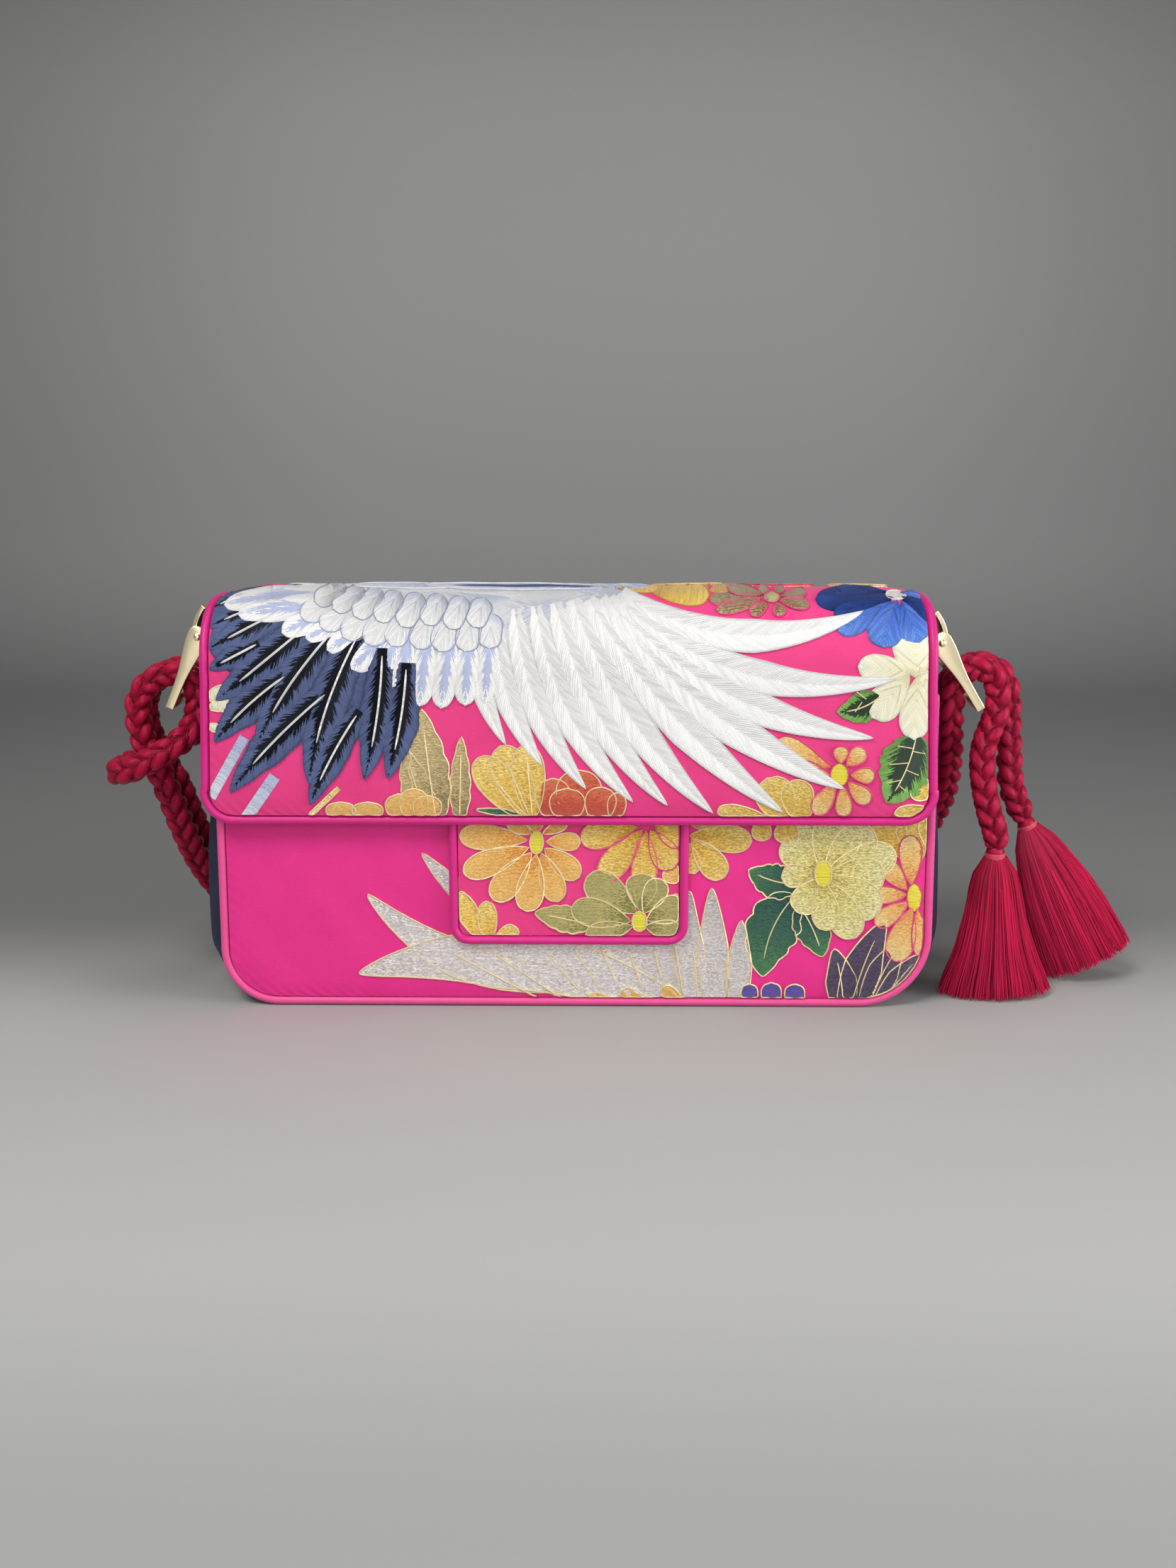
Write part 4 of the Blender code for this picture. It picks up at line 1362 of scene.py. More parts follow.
@dataclass
class BraidedCord:
    """A round braid of four silk strands that follows a route."""

    name: str
    route: Array
    diameter: float = 0.0104
    columns: int = 4
    pitch: float = 0.0071
    bulge: float = 0.0028
    half_width: float = 0.0031
    half_length: float = 0.0060
    tilt: float = 42.0
    overlap: float = 0.2
    turn: float = 45.0
    spacing: float = 0.0006
    sides: int = 44
    taper: float = 0.007
    neck: float = 0.74
    end: float = 0.0022
    crevice: float = 1.05
    lobe_depth: float = 0.8

    def envelope(self, reach: Array, angle: Array) -> tuple[Array, Array, Array]:
        """The braid's outer surface, as columns of plump lobes that lean to and fro.

        Args:
            reach: Distances along the cord.
            angle: Angles round it.

        Returns:
            For each distance and angle, the radius, the distance across the threads and how far
            the surface stands out of the crevices, from 0 to 1.
        """
        outer = self.diameter / 2
        best = np.full((len(reach), len(angle)), outer - self.bulge * self.crevice)
        across = np.zeros_like(best)
        for column in range(self.columns):
            middle = math.radians(self.turn) + 2 * math.pi * column / self.columns
            away = (angle - middle + math.pi) % (2 * math.pi) - math.pi
            arc = (away * outer * self.lobe_depth)[None, :]
            lean = math.radians(self.tilt if column % 2 else -self.tilt)
            place = reach / self.pitch + 0.5 * (column % 2)
            for step in (-1, 0, 1):
                ahead = ((place - np.round(place) - step) * self.pitch)[:, None]
                wide = (arc * math.cos(lean) + ahead * math.sin(lean)) / self.half_width
                long = (ahead * math.cos(lean) - arc * math.sin(lean)) / self.half_length
                dome = np.sqrt(np.maximum(1 - wide ** 2 - long ** 2, 0)) - self.overlap * (1 + long)
                radius = outer - self.bulge * (1 - dome / (1 - self.overlap))
                higher = radius > best
                best = np.where(higher, radius, best)
                across = np.where(higher, wide * self.half_width, across)
        return np.minimum(best, outer), across, np.clip(1 - (outer - best) / self.bulge, 0, 1)

    def build(self, finish: Material, tassel: Piece, node: str,
              exit_point: Place) -> Piece:
        """Args:
            finish: Its material.
            tassel: The tassel on its end; not used.
            node: The frame's node that it stands for.
            exit_point: Where it leaves the stirrup; not used.

        Returns:
            The new piece.
        """
        line = smooth_line(self.route, self.spacing)
        reach = np.arange(len(line)) * self.spacing
        angle = np.linspace(0, 2 * math.pi, self.sides, endpoint=False)
        radius, across, painted_crevice_shade_share = self.envelope(reach, angle)
        left = reach[-1] - reach
        narrow = 1 - (1 - self.neck) * np.clip(1 - left / self.taper, 0, 1) ** 1.5
        close = np.sqrt(np.clip(left / self.end, 0.0004, 1))
        radius = radius * (narrow * close)[:, None]
        _, normal, side = frames_along(line)
        points = line[:, None] + radius[..., None] * (normal[:, None] * np.cos(angle)[None, :, None]
                                                      + side[:, None] * np.sin(angle)[None, :, None])
        gathering = Gathering()
        gathering.add(points, grid_quads(len(line), self.sides, ring=True)[:, ::-1],
                      # The colour runs from painted shade deep in the crevices to full colour on the lobes.
                      together(across / MM, reach[:, None] / MM), together(painted_crevice_shade_share, 0.0))
        piece = gathering.build(self.name, finish, Slot.CORD, sharp=80.0)
        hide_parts(node)
        return piece


class TasselForm(Enum):
    """How a tassel's threads spread from its neck: shares of its length, width and depth."""

    HANGING = ((0.00, 0.20, 0.30), (0.05, 0.33, 0.44), (0.20, 0.44, 0.58), (0.46, 0.55, 0.70),
               (0.72, 0.72, 0.84), (0.90, 0.92, 0.95), (1.00, 1.00, 1.00))
    SPLAYED = ((0.00, 0.24, 0.32), (0.06, 0.40, 0.46), (0.20, 0.56, 0.62), (0.45, 0.79, 0.80),
               (0.72, 0.92, 0.92), (1.00, 1.00, 1.00))


@dataclass
class Tassel:
    """Straight silk threads bound at the end of a cord."""

    name: str
    form: TasselForm
    cord_end: Array
    lean: tuple[float, float]
    length: float
    half_width: float
    half_depth: float
    seed: int
    threads: int = 1600
    knots: int = 10
    radius: float = 0.00021
    ragged: float = 0.035
    crowding: float = 0.36
    locks: int = 14
    pull: tuple[float, float] = (1.3, 0.7)
    pull_rate: float = 2.2
    waviness: float = 0.02
    waves: float = 9.0
    wander: float = 0.3
    straying: tuple[tuple[float, float], ...] = ((1.0, 5.0), (0.985, 0.015))
    spread: tuple[float, float] = (1.6, 1.2)
    tone_pitch: float = 0.34
    binding: float = 0.0034
    neck: float = 0.0036
    turns: int = 7
    coil: float = 0.0003
    core: tuple[float, float] = (0.0016, -0.004)

    def placed(self, points: Array) -> Array:
        """Hang points from the end of the cord.

        Args:
            points: Points around the tassel's own upright middle.

        Returns:
            The points where the tassel hangs.
        """
        before, end = (Vector(point) for point in self.cord_end)
        place = end + (end - before).normalized() * (self.binding / 2 + 2 * GAP)
        turn = Vector((0, 0, -1)).rotation_difference(Vector((*self.lean, -1.0))).to_matrix()
        return points @ np.array(turn).T + np.array(place)

    def skirt(self) -> tuple[Array, ...]:
        """The threads of the skirt as thin three-sided tubes.

        Returns:
            Their points and quads, and for each point its thread and place coordinates.
        """
        rng = np.random.default_rng(self.seed)
        share = np.linspace(0, 1, self.knots)
        table = np.array(self.form.value)
        width = np.interp(share, table[:, 0], table[:, 1]) * self.half_width
        depth = np.interp(share, table[:, 0], table[:, 2]) * self.half_depth
        around = rng.uniform(0, 2 * math.pi, self.threads)
        out = rng.uniform(0, 1, self.threads) ** self.crowding
        pull = 0.5 * np.sin(self.locks * around + 0.8 * np.sin(3 * around)) / self.locks
        wander = rng.normal(0, self.wander, (self.threads, 2, 1))
        wander = wander * rng.choice(self.straying[0], (self.threads, 1, 1), p=self.straying[1])
        wave = rng.uniform(0, 2 * math.pi, (self.threads, 1))
        pulled = np.minimum(share * self.pull_rate, 1.0) * np.interp(share, [0, 1], self.pull)
        angle = around[:, None] + pull[:, None] * pulled
        grown = out[:, None] + self.waviness * np.sin(share * self.waves + wave)
        x = width * grown * np.cos(angle) + MM * wander[:, 0] * share ** 2 * self.spread[0]
        y = depth * grown * np.sin(angle) + MM * wander[:, 1] * share ** 2 * self.spread[1]
        long = self.length * (1 - self.ragged * rng.uniform(0, 1, self.threads) ** 2.5)
        line = together(x, y, -share[None, :] * long[:, None])
        trio = np.radians([90, 210, 330])
        ring = self.radius * together(np.cos(trio), np.sin(trio), 0.0)
        thin = np.where(share > 0.98, 0.6, 1.0)
        points = self.placed(line[:, :, None, :] + ring[None, None] * thin[None, :, None, None])
        points[..., 2] = np.maximum(points[..., 2], GAP)
        strip = grid_quads(self.knots, 3, ring=True)[:, ::-1]
        quads = (strip[None] + (np.arange(self.threads) * self.knots * 3)[:, None, None]).reshape(-1, 4)
        across = (np.arange(self.threads) + 0.5)[:, None, None] * self.tone_pitch
        across, share, _ = np.broadcast_arrays(across, share[None, :, None], points[..., 0])
        return points, quads, together(across, 0.0), together(share, 0.0)

    def build(self, finish: Material, binding_finish: Material,
              node: str) -> Piece:
        """Make the skirt, with its binding joined on as a second finish.

        Args:
            finish: The threads' material.
            binding_finish: The binding's material.
            node: The frame's node that it stands for.

        Returns:
            The new piece.
        """
        gathering = Gathering()
        gathering.add(*self.skirt())
        turn = np.linspace(0, 2 * math.pi * self.turns, self.turns * 24)
        rise = np.linspace(self.binding / 2, -self.binding / 2, len(turn))
        coil = together(self.neck * np.cos(turn), self.neck * np.sin(turn), rise)
        gathering.add(*tube(self.placed(coil), self.coil, 6))
        core = together(0.0, 0.0, np.linspace(*self.core, 12))
        gathering.add(*tube(self.placed(core), self.neck * np.linspace(0.98, 0.8, 12), 20))
        piece = gathering.build(self.name, finish, Slot.CORD)
        piece.data.materials.append(binding_finish)
        marks = np.repeat([0, 1, 0], [len(quads) for quads in gathering.quads]).astype(np.int32)
        piece.data.polygons.foreach_set("material_index", marks)
        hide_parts(node)
        return piece


# Hardware


@dataclass
class Hinge:
    """One end's bracket, its stirrup and the pin between them."""

    side: Side
    out: float
    height: float
    swing: float
    body: BodyForm
    cord: float = 0.0104
    bracket_radius: float = 0.018
    bracket_sweep: float = 41.0
    bracket_thickness: float = 0.0018
    boss: float = 0.0026
    length: float = 0.027
    head: float = 0.0039
    head_reach: float = 0.0115
    head_squareness: float = 2.7
    bar_width: float = 0.0032
    bar_height: float = 0.0046
    arm: float = 0.0018
    pin: float = 0.0008
    pin_head: float = 0.0014
    dome: float = 0.0008
    edge: float = 0.00028
    sharp: float = 32.0

    @property
    def room(self) -> float:
        """The width between the stirrup's arms."""
        return 2 * self.cord + 3 * GAP

    @property
    def axis(self) -> Array:
        """The middle of the hinge's axis."""
        return np.array([self.side.value * (self.body.width / 2 + self.out), 0.0, self.height])

    def plate(self, outline: Array, low: float, high: float) -> tuple[Array, ...]:
        """A flat plate with softened edges, from an outline and its two depths.

        Args:
            outline: The outline's points in X and Z, in order.
            low: Its lower Y.
            high: Its higher Y.

        Returns:
            Points, quads and thread coordinates, with both faces left open.
        """
        count = len(outline)
        before, after = np.roll(outline, 1, axis=0), np.roll(outline, -1, axis=0)
        along = unit(after - before)
        area = np.sum(outline[:, 0] * after[:, 1] - after[:, 0] * outline[:, 1])
        inward = together(-along[:, 1], along[:, 0]) * np.sign(area)
        rings = []
        bend = np.radians([90, 60, 30, 0])
        for depth, way in ((low, 1), (high, -1)):
            for turn in bend[::way]:
                ring = outline + inward * self.edge * (1 - math.cos(turn))
                y = depth + way * self.edge * (1 - math.sin(turn))
                rings.append(together(ring[:, 0], y, ring[:, 1]))
        quads = grid_quads(len(rings), count, ring=True)
        return np.stack(rings), quads[:, ::-1] if area > 0 else quads, np.zeros((len(rings), count, 2))

    def arm_outline(self) -> Array:
        """One arm seen along Y, hanging from the hinge: a squared head that narrows to the bar.

        Returns:
            Its outline in X and Z.
        """
        end = self.length + self.bar_height / 2
        drop = np.array([*(-self.head * np.cos(np.linspace(0.12, math.pi / 2, 12))),
                         *np.linspace(0.0008, end, 26)])
        bar = self.bar_width / 2
        upper = self.head * np.maximum(1 - np.abs(np.minimum(drop, 0) / self.head) ** self.head_squareness,
                                       0) ** (1 / self.head_squareness)
        lower = bar + (self.head - bar) * np.exp(-(np.maximum(drop, 0) / self.head_reach) ** 2)
        half = np.where(drop <= 0, upper, lower)
        right = together(half, -drop)
        return np.vstack([right, (right * np.array([-1, 1]))[::-1]])

    def bracket_outline(self) -> Array:
        """The curved shield and the boss seen along Y.

        Returns:
            Their outline in X and Z.
        """
        outer, inner = self.bracket_radius, self.bracket_radius - self.bracket_thickness
        centre = self.boss - outer
        sweep = np.radians(self.bracket_sweep)
        meeting = math.acos((centre ** 2 + inner ** 2 - self.boss ** 2) / (2 * abs(centre) * inner))
        rise = np.linspace(0, sweep, 26)
        fall = np.linspace(sweep, meeting, 22)
        start = math.atan2(inner * math.sin(meeting), centre + inner * math.cos(meeting))
        round_boss = np.linspace(start, 2 * math.pi, 30)[1:-1]
        outline = np.vstack([
            together(centre + outer * np.cos(rise), outer * np.sin(rise)),
            together(centre + inner * np.cos(fall), inner * np.sin(fall)),
            together(self.boss * np.cos(round_boss), self.boss * np.sin(round_boss))])
        return outline * np.array([self.side.value, 1])

    def filled(self, name: str, plates: list[tuple[Array, float, float]], turn: float,
               finish: Material) -> Piece:
        """Make one piece of several plates, with their faces filled.

        Args:
            name: The piece's name.
            plates: Each plate's outline, lower Y and higher Y.
            turn: The angle in degrees that it is swung about the hinge.
            finish: Its material.

        Returns:
            The new piece.
        """
        gathering = Gathering()
        for outline, low, high in plates:
            gathering.add(*self.plate(outline, low, high))
        piece = gathering.build(name, finish, Slot.GILT, self.sharp)
        bm = bmesh.new()
        bm.from_mesh(piece.data)
        bmesh.ops.holes_fill(bm, edges=bm.edges, sides=0)
        bmesh.ops.recalc_face_normals(bm, faces=bm.faces)
        bmesh.ops.rotate(bm, verts=bm.verts, matrix=Matrix.Rotation(math.radians(turn), 3, "Y"))
        bmesh.ops.translate(bm, verts=bm.verts, vec=Vector(self.axis))
        bm.to_mesh(piece.data)
        bm.free()
        piece.data.shade_smooth()
        piece.data.set_sharp_from_angle(angle=math.radians(self.sharp))
        return piece

    def build(self, finish: Material) -> None:
        """Make the bracket, the stirrup and the pin.

        Args:
            finish: Their material.
        """
        label = self.side.name.lower()
        half = self.room / 2
        bracket = self.filled("bracket_" + label + "_polished",
                              [(self.bracket_outline(), GAP - half, half - GAP)], 0.0, finish)
        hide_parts("bracket_" + label)
        arm = self.arm_outline()
        corner = np.linspace(0, 2 * math.pi, 33)[:-1]
        across, up = (np.sign(way) * np.abs(way) ** 0.5 for way in (np.cos(corner), np.sin(corner)))
        bar = together(self.bar_width / 2 * across, -self.length + self.bar_height / 2 * up)
        stirrup = self.filled("stirrup_" + label + "_polished", [
            (arm, -half - self.arm, -half), (arm, half, half + self.arm),
            (bar, -half - self.arm * 0.5, half + self.arm * 0.5)], -self.side.value * self.swing, finish)
        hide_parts("stirrup_" + label)
        self.pin_piece("pin_" + label + "_polished", finish)

    def pin_piece(self, name: str, finish: Material) -> Piece:
        """Make the pin with a domed head at each end.

        Args:
            name: The piece's name.
            finish: Its material.

        Returns:
            The new piece.
        """
        face = self.room / 2 + self.arm + GAP / 3
        turn = np.linspace(math.pi / 2, 0, 9)
        head = together(self.pin_head * np.cos(turn), face + self.dome * np.sin(turn))
        half = np.vstack([head, [[self.pin_head, face], [self.pin, face]]])
        profile = np.vstack([half, (half * np.array([1, -1]))[::-1]])
        angle = np.linspace(0, 2 * math.pi, 32, endpoint=False)
        radius, depth = profile[:, :1], profile[:, 1:]
        points = together(radius * np.cos(angle), depth, radius * np.sin(angle)) + self.axis
        gathering = Gathering()
        gathering.add(points, grid_quads(len(profile), 32, ring=True), np.zeros((len(profile), 32, 2)))
        piece = gathering.build(name, finish, Slot.GILT, sharp=40.0)
        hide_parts("pin_" + self.side.name.lower())
        return piece


# Embroidery


def round_tip(share: Array, start: float) -> Array:
    """Widths that stay full up to a share of the length and then close in a round tip."""
    return np.sqrt(np.maximum(1 - (np.maximum(share - start, 0) / (1 - start)) ** 2, 0))


class Shape(Enum):
    """Outlines of stitched shapes."""

    FEATHER = "pointed, and widest past its middle"
    COVERT = "even, with a round tip"
    PETAL = "narrow at its root, with a round tip"
    LEAF = "pointed at both ends, with lobes"
    OVAL = "round at both ends"
    STEM = "even"

    def widths(self, share: Array) -> Array:
        """How wide the shape is along its length.

        Args:
            share: Shares of its length from its root.

        Returns:
            Its widths as shares of the greatest.
        """
        if self is Shape.FEATHER:
            root, widest, point = 0.58, 0.58, 0.44
            swelling = root + (1 - root) * np.sin(np.minimum(share / widest, 1) * math.pi / 2)
            return swelling * np.minimum((1 - share) / point, 1) ** 0.68
        if self is Shape.COVERT:
            rounding, start = 0.2, 0.72
            return np.minimum(share / rounding, 1) ** 0.5 * round_tip(share, start)
        if self is Shape.PETAL:
            widest = 0.68
            bud = np.sin(np.minimum(share / widest, 1) * math.pi / 2) ** 0.85
            return bud * round_tip(share, widest)
        if self is Shape.LEAF:
            lobes, depth = 5, 0.14
            edge = 1 - depth + depth * np.abs(np.sin(share * lobes * math.pi))
            return np.sin(math.pi * share ** 0.8) ** 0.75 * edge
        if self is Shape.OVAL:
            return np.sqrt(np.maximum(1 - (2 * share - 1) ** 2, 0))
        return np.ones_like(share)


@dataclass(frozen=True)
class Stitching:
    """How a kind of shape is worked."""

    shape: Shape
    finish: ThreadFinish
    layer: float = 0.0
    slant: float = 90.0
    dome: float = 0.00024
    crease: float = 0.0
    ragged: float = 0.0
    edging: ThreadFinish | None = None
    edging_width: float = 0.0006
    vein: ThreadFinish | None = None
    vein_width: float = 0.0005
    vein_end: float = 0.8


@dataclass(frozen=True)
class Patch:
    """One shape of a motif, from its root to its tip; its middle bends clockwise if bend is positive."""

    root: Point
    tip: Point
    width: float
    bend: float = 0.0

    def spine(self, share: Array) -> Array:
        """Places along the shape's middle.

        Args:
            share: Shares of its length from its root.

        Returns:
            The places.
        """
        root, tip = np.array(self.root, dtype=float), np.array(self.tip, dtype=float)
        ahead = tip - root
        side = np.array([-ahead[1], ahead[0]])
        bow = self.bend * 4 * share * (1 - share)
        return root + share[:, None] * ahead + bow[:, None] * side


@dataclass(frozen=True)
class Motif:
    """Shapes that are worked alike, each a little above the one before.

    A row holds the root's two places, the tip's two places, the width and, for some, the bend.
    """

    stitching: Stitching
    rows: list[tuple[float, ...]]
    rise: float = 0.00005

    def patches(self) -> list[Patch]:
        """The shapes of its rows."""
        return [Patch(row[:2], row[2:4], *row[4:]) for row in self.rows]


def blossom(centre: Point, reach: float, width: float, petals: int, turn: float) -> list[tuple[float, ...]]:
    """Petals all round a centre.

    Args:
        centre: The flower's middle.
        reach: How far its petals reach.
        width: A petal's width.
        petals: How many petals it has.
        turn: The first petal's direction in degrees.

    Returns:
        A motif's rows.
    """
    start = 0.16
    rows = []
    for number in range(petals):
        angle = math.radians(turn + 360 * number / petals)
        along = reach * np.array([math.cos(angle), math.sin(angle)])
        rows.append((*(centre + along * start), *(centre + along), width))
    return rows


@dataclass
class Embroiderer:
    """Works motifs onto cloths and gathers them by their thread.

    A motif is charted in squares of the picture, or in millimetres across and along its cloth.
    """

    camera: PictureCamera
    in_picture: bool = True
    square: float = 0.26
    spacing: float = 0.0012
    sides: int = 5
    columns: int = 11
    fewest_rows: int = 14
    row: float = 0.9
    layer: float = 0.00015
    ground: float = 0.00008
    tuck: float = 0.0002
    fullness: float = 2.6
    crease: float = 0.14
    rag: Point = (5.1, 2.3)
    line_end: float = 0.45
    line_swell: float = 6.0
    edging_height: float = 0.25
    vein_start: float = 0.06
    vein_points: int = 12
    work: dict[ThreadFinish, Gathering] = field(default_factory=dict)

    def place(self, sheet: ClothSheet, charted: Array, lift: Array | float) -> Array:
        """Points on a cloth from charted ones.

        Args:
            sheet: The cloth.
            charted: The charted points.
            lift: Their heights above the cloth.

        Returns:
            The points.
        """
        if self.in_picture:
            return sheet.lay(self.camera, charted, lift)
        return sheet.point(charted[..., 0] * MM, charted[..., 1] * MM, lift)

    def gather(self, finish: ThreadFinish, *parts: Array) -> None:
        """Add a patch or a line to the work of its finish."""
        self.work.setdefault(finish, Gathering()).add(*parts)

    def line(self, sheet: ClothSheet, charted: Array, finish: ThreadFinish, width: float,
             lift: float) -> None:
        """Couch a thread along a charted line, tapering to both ends.

        Args:
            sheet: The cloth.
            charted: The line's charted points.
            finish: The thread.
            width: Its width.
            lift: Its middle's height above the cloth.
        """
        line = spaced(self.place(sheet, charted, lift), self.spacing)
        share = np.linspace(0, 1, len(line))
        taper = np.minimum(np.minimum(share, 1 - share) * self.line_swell + self.line_end, 1.0)
        self.gather(finish, *tube(line, width / 2 * taper, self.sides))

    def chart(self, stitching: Stitching, patch: Patch) -> tuple[Array, Array, Array]:
        """Chart one shape as a grid.

        Args:
            stitching: How the shape is worked.
            patch: The shape.

        Returns:
            The grid's charted points, its shares from root to tip and its places from side to side.
        """
        length = math.dist(patch.root, patch.tip) * (self.square if self.in_picture else 1.0)
        share = np.linspace(0, 1, max(int(length / self.row), self.fewest_rows))
        long, short = self.rag
        rag = np.sin(share * length * long + patch.root[0]) * np.sin(share * length * short + patch.tip[1])
        half = patch.width / 2 * stitching.shape.widths(share) * (1 + stitching.ragged * rag)
        spine = patch.spine(share)
        side = unit(np.gradient(spine, axis=0))[:, ::-1] * np.array([-1, 1])
        t = np.array([-1.0, *np.sin(np.linspace(-1, 1, self.columns) * math.pi / 2), 1.0])
        return spine[:, None] + side[:, None] * (half[:, None] * t[None, :])[..., None], share, t

    def patch(self, sheet: ClothSheet, stitching: Stitching, patch: Patch, rise: float) -> None:
        """Work one shape, with its edging and its vein.

        Args:
            sheet: The cloth.
            stitching: How the shape is worked.
            patch: The shape.
            rise: How far it lies above others of its layer.
        """
        charted, share, t = self.chart(stitching, patch)
        base = stitching.layer * self.layer + rise + self.ground
        lift = (base + stitching.dome * (1 - np.abs(t) ** self.fullness)
                - stitching.crease * np.exp(-(t / self.crease) ** 2))
        lift[0] = lift[-1] = -self.tuck
        points = self.place(sheet, charted, np.broadcast_to(lift, charted.shape[:2]))
        middle = points[:, len(t) // 2]
        reach = distances(middle)[:, None] / MM
        across = np.abs(np.linalg.norm(points[:, -1] - middle, axis=1)[:, None] / MM * t[None, :])
        slant = math.radians(stitching.slant)
        thread = together(reach * math.sin(slant) - across * math.cos(slant),
                          reach * math.cos(slant) + across * math.sin(slant))
        quads = grid_quads(len(share), len(t))
        wide = points[len(share) // 2, -2] - points[len(share) // 2, 1]
        spot = charted[:1, len(t) // 2]
        outward = self.place(sheet, spot, MM) - self.place(sheet, spot, 0.0)
        if np.cross(middle[-1] - middle[0], wide).dot(outward[0]) > 0:
            quads = quads[:, ::-1]
        self.gather(stitching.finish, points, quads, thread, together(share[:, None], t[None, :]))
        if stitching.edging:
            rim = np.vstack([charted[:, 1], charted[::-1, -2]])
            height = base + stitching.dome * self.edging_height
            self.line(sheet, rim, stitching.edging, stitching.edging_width, height)
        if stitching.vein:
            vein = patch.spine(np.linspace(self.vein_start, stitching.vein_end, self.vein_points))
            height = base + stitching.dome - stitching.crease / 2
            self.line(sheet, vein, stitching.vein, stitching.vein_width, height)

    def motifs(self, sheet: ClothSheet, motifs: list[Motif], in_picture: bool = True) -> None:
        """Work motifs onto a cloth.

        Args:
            sheet: The cloth.
            motifs: The motifs.
            in_picture: Whether they are charted in squares of the picture.
        """
        self.in_picture = in_picture
        for motif in motifs:
            for number, patch in enumerate(motif.patches()):
                self.patch(sheet, motif.stitching, patch, number * motif.rise)

    def build(self) -> None:
        """Make one piece for each thread."""
        for finish, gathering in self.work.items():
            gathering.build("embroidery_" + finish.name, finish.build(), Slot.SILK)


# Routes of the doubled cord in millimetres: a half of its knot, and the rest of each run to its tassel
KNOT = [
    (-175, -0.05, 85.6), (-175, -5, 85.6), (-172.9, -11.2, 86.4), (-167.8, -15.5, 88),
    (-160.5, -16.6, 91.3), (-154.5, -16.3, 94.6), (-148.8, -13, 98.5), (-145.2, -8.5, 103),
    (-143.4, -5.6, 109.5), (-143.4, -5.4, 117), (-146.8, -5.4, 122.2), (-152.8, -5.4, 123.3),
    (-159, -5.4, 121.3), (-164.2, -5.4, 116), (-166.2, -5.4, 108), (-164.5, -5.4, 97.5)]
FRONT_RUN = [
    (-159.8, -5.4, 87), (-156, -3, 74.5), (-153.5, 4, 60), (-150.5, 15, 44), (-145, 29, 28),
    (-134, 44, 14), (-116, 58, 7), (-90, 70.5, 5.6), (-60, 78, 5.6), (-28, 81.2, 5.6), (5, 81.2, 5.6),
    (37, 77.5, 5.6), (66, 70.5, 5.8), (91, 61.5, 9), (113, 53, 20), (129, 43, 37), (140, 31, 55),
    (144, 17, 72), (143.7, 6, 88), (142, -1, 100), (141, -5.4, 110), (141.6, -5.5, 117),
    (144.1, -5.6, 123.2), (149.8, -5.6, 125.8), (155.6, -5.6, 123.4), (158.2, -5.7, 117.5),
    (158.3, -6, 111), (156.5, -6.6, 104.5), (154.2, -7.4, 98.5), (153.1, -8.3, 92.5), (153.2, -9.5, 86),
    (154.3, -10.8, 78.4), (156.2, -12.1, 70.4), (158.3, -13.1, 63.6), (158.6, -12.9, 57)]
BACK_RUN = [
    (-159.8, 5.8, 87), (-156, 9, 78), (-153.5, 15.5, 65), (-151, 26.5, 50), (-146, 41, 34.5),
    (-136, 56, 19), (-118, 70, 8.5), (-93, 82, 5.6), (-61, 89.3, 5.6), (-28, 92.4, 5.6), (6, 92.4, 5.6),
    (39, 88.7, 5.6), (70, 81.7, 6), (94.5, 72.4, 10.5), (114, 62.4, 26.8), (129.7, 52.3, 43.8),
    (140.6, 39.9, 61.8), (145, 25.8, 79), (144.9, 15.3, 94.1), (143, 9.2, 105), (141.1, 5.6, 114.5),
    (144.4, 5.5, 122.1), (152.8, 5.5, 125.7), (161.2, 5.6, 122.2), (164.7, 5.8, 114.2), (165.3, 6, 106),
    (166, 6.2, 97), (166.8, 6.6, 89), (167.7, 7.7, 81.5), (169.5, 9, 75), (172.2, 10.1, 69),
    (175.3, 10, 62.7)]
FRONT_STRAND = np.array(KNOT + FRONT_RUN) * MM
BACK_STRAND = np.array([(x, -y, z) for x, y, z in KNOT] + BACK_RUN) * MM


def one_colour(name: str, rgb: Rgb, **settings: float) -> ThreadFinish:
    """A thread of one colour from its root to its tip."""
    return ThreadFinish(name, rgb, rgb, rgb, **settings)


# Finishes, as linear red, green and blue
FLAP_SILK = ClothFinish("flap_crepe", (0.68, 0.036, 0.195), (0.645, 0.032, 0.175), sheen=0.12)
BODY_SILK = ClothFinish("body_crepe", (0.68, 0.020, 0.22), (0.65, 0.018, 0.205), grain=0.0004, sheen=0.12)
PIPING_SILK = ClothFinish(
    "piping_silk", (0.56, 0.012, 0.195), (0.535, 0.011, 0.18), grain=0.00035, depth=0.00004,
    roughness=0.45, sheen=0.1)
# The body's piping is a paler copy of the piping silk: painted highlight where light catches its seams.
BODY_PIPING_PAINTED_HIGHLIGHT_SILK = replace(
    PIPING_SILK, name="body_piping_painted_highlight_silk", ground=(0.69, 0.07, 0.26), shade=(0.66, 0.065, 0.245))
GUSSET_SILK = ClothFinish(
    "gusset_silk", (0.021, 0.026, 0.068), (0.008, 0.009, 0.022), grain=0.0011, depth=0.0003, sheen=0.0)
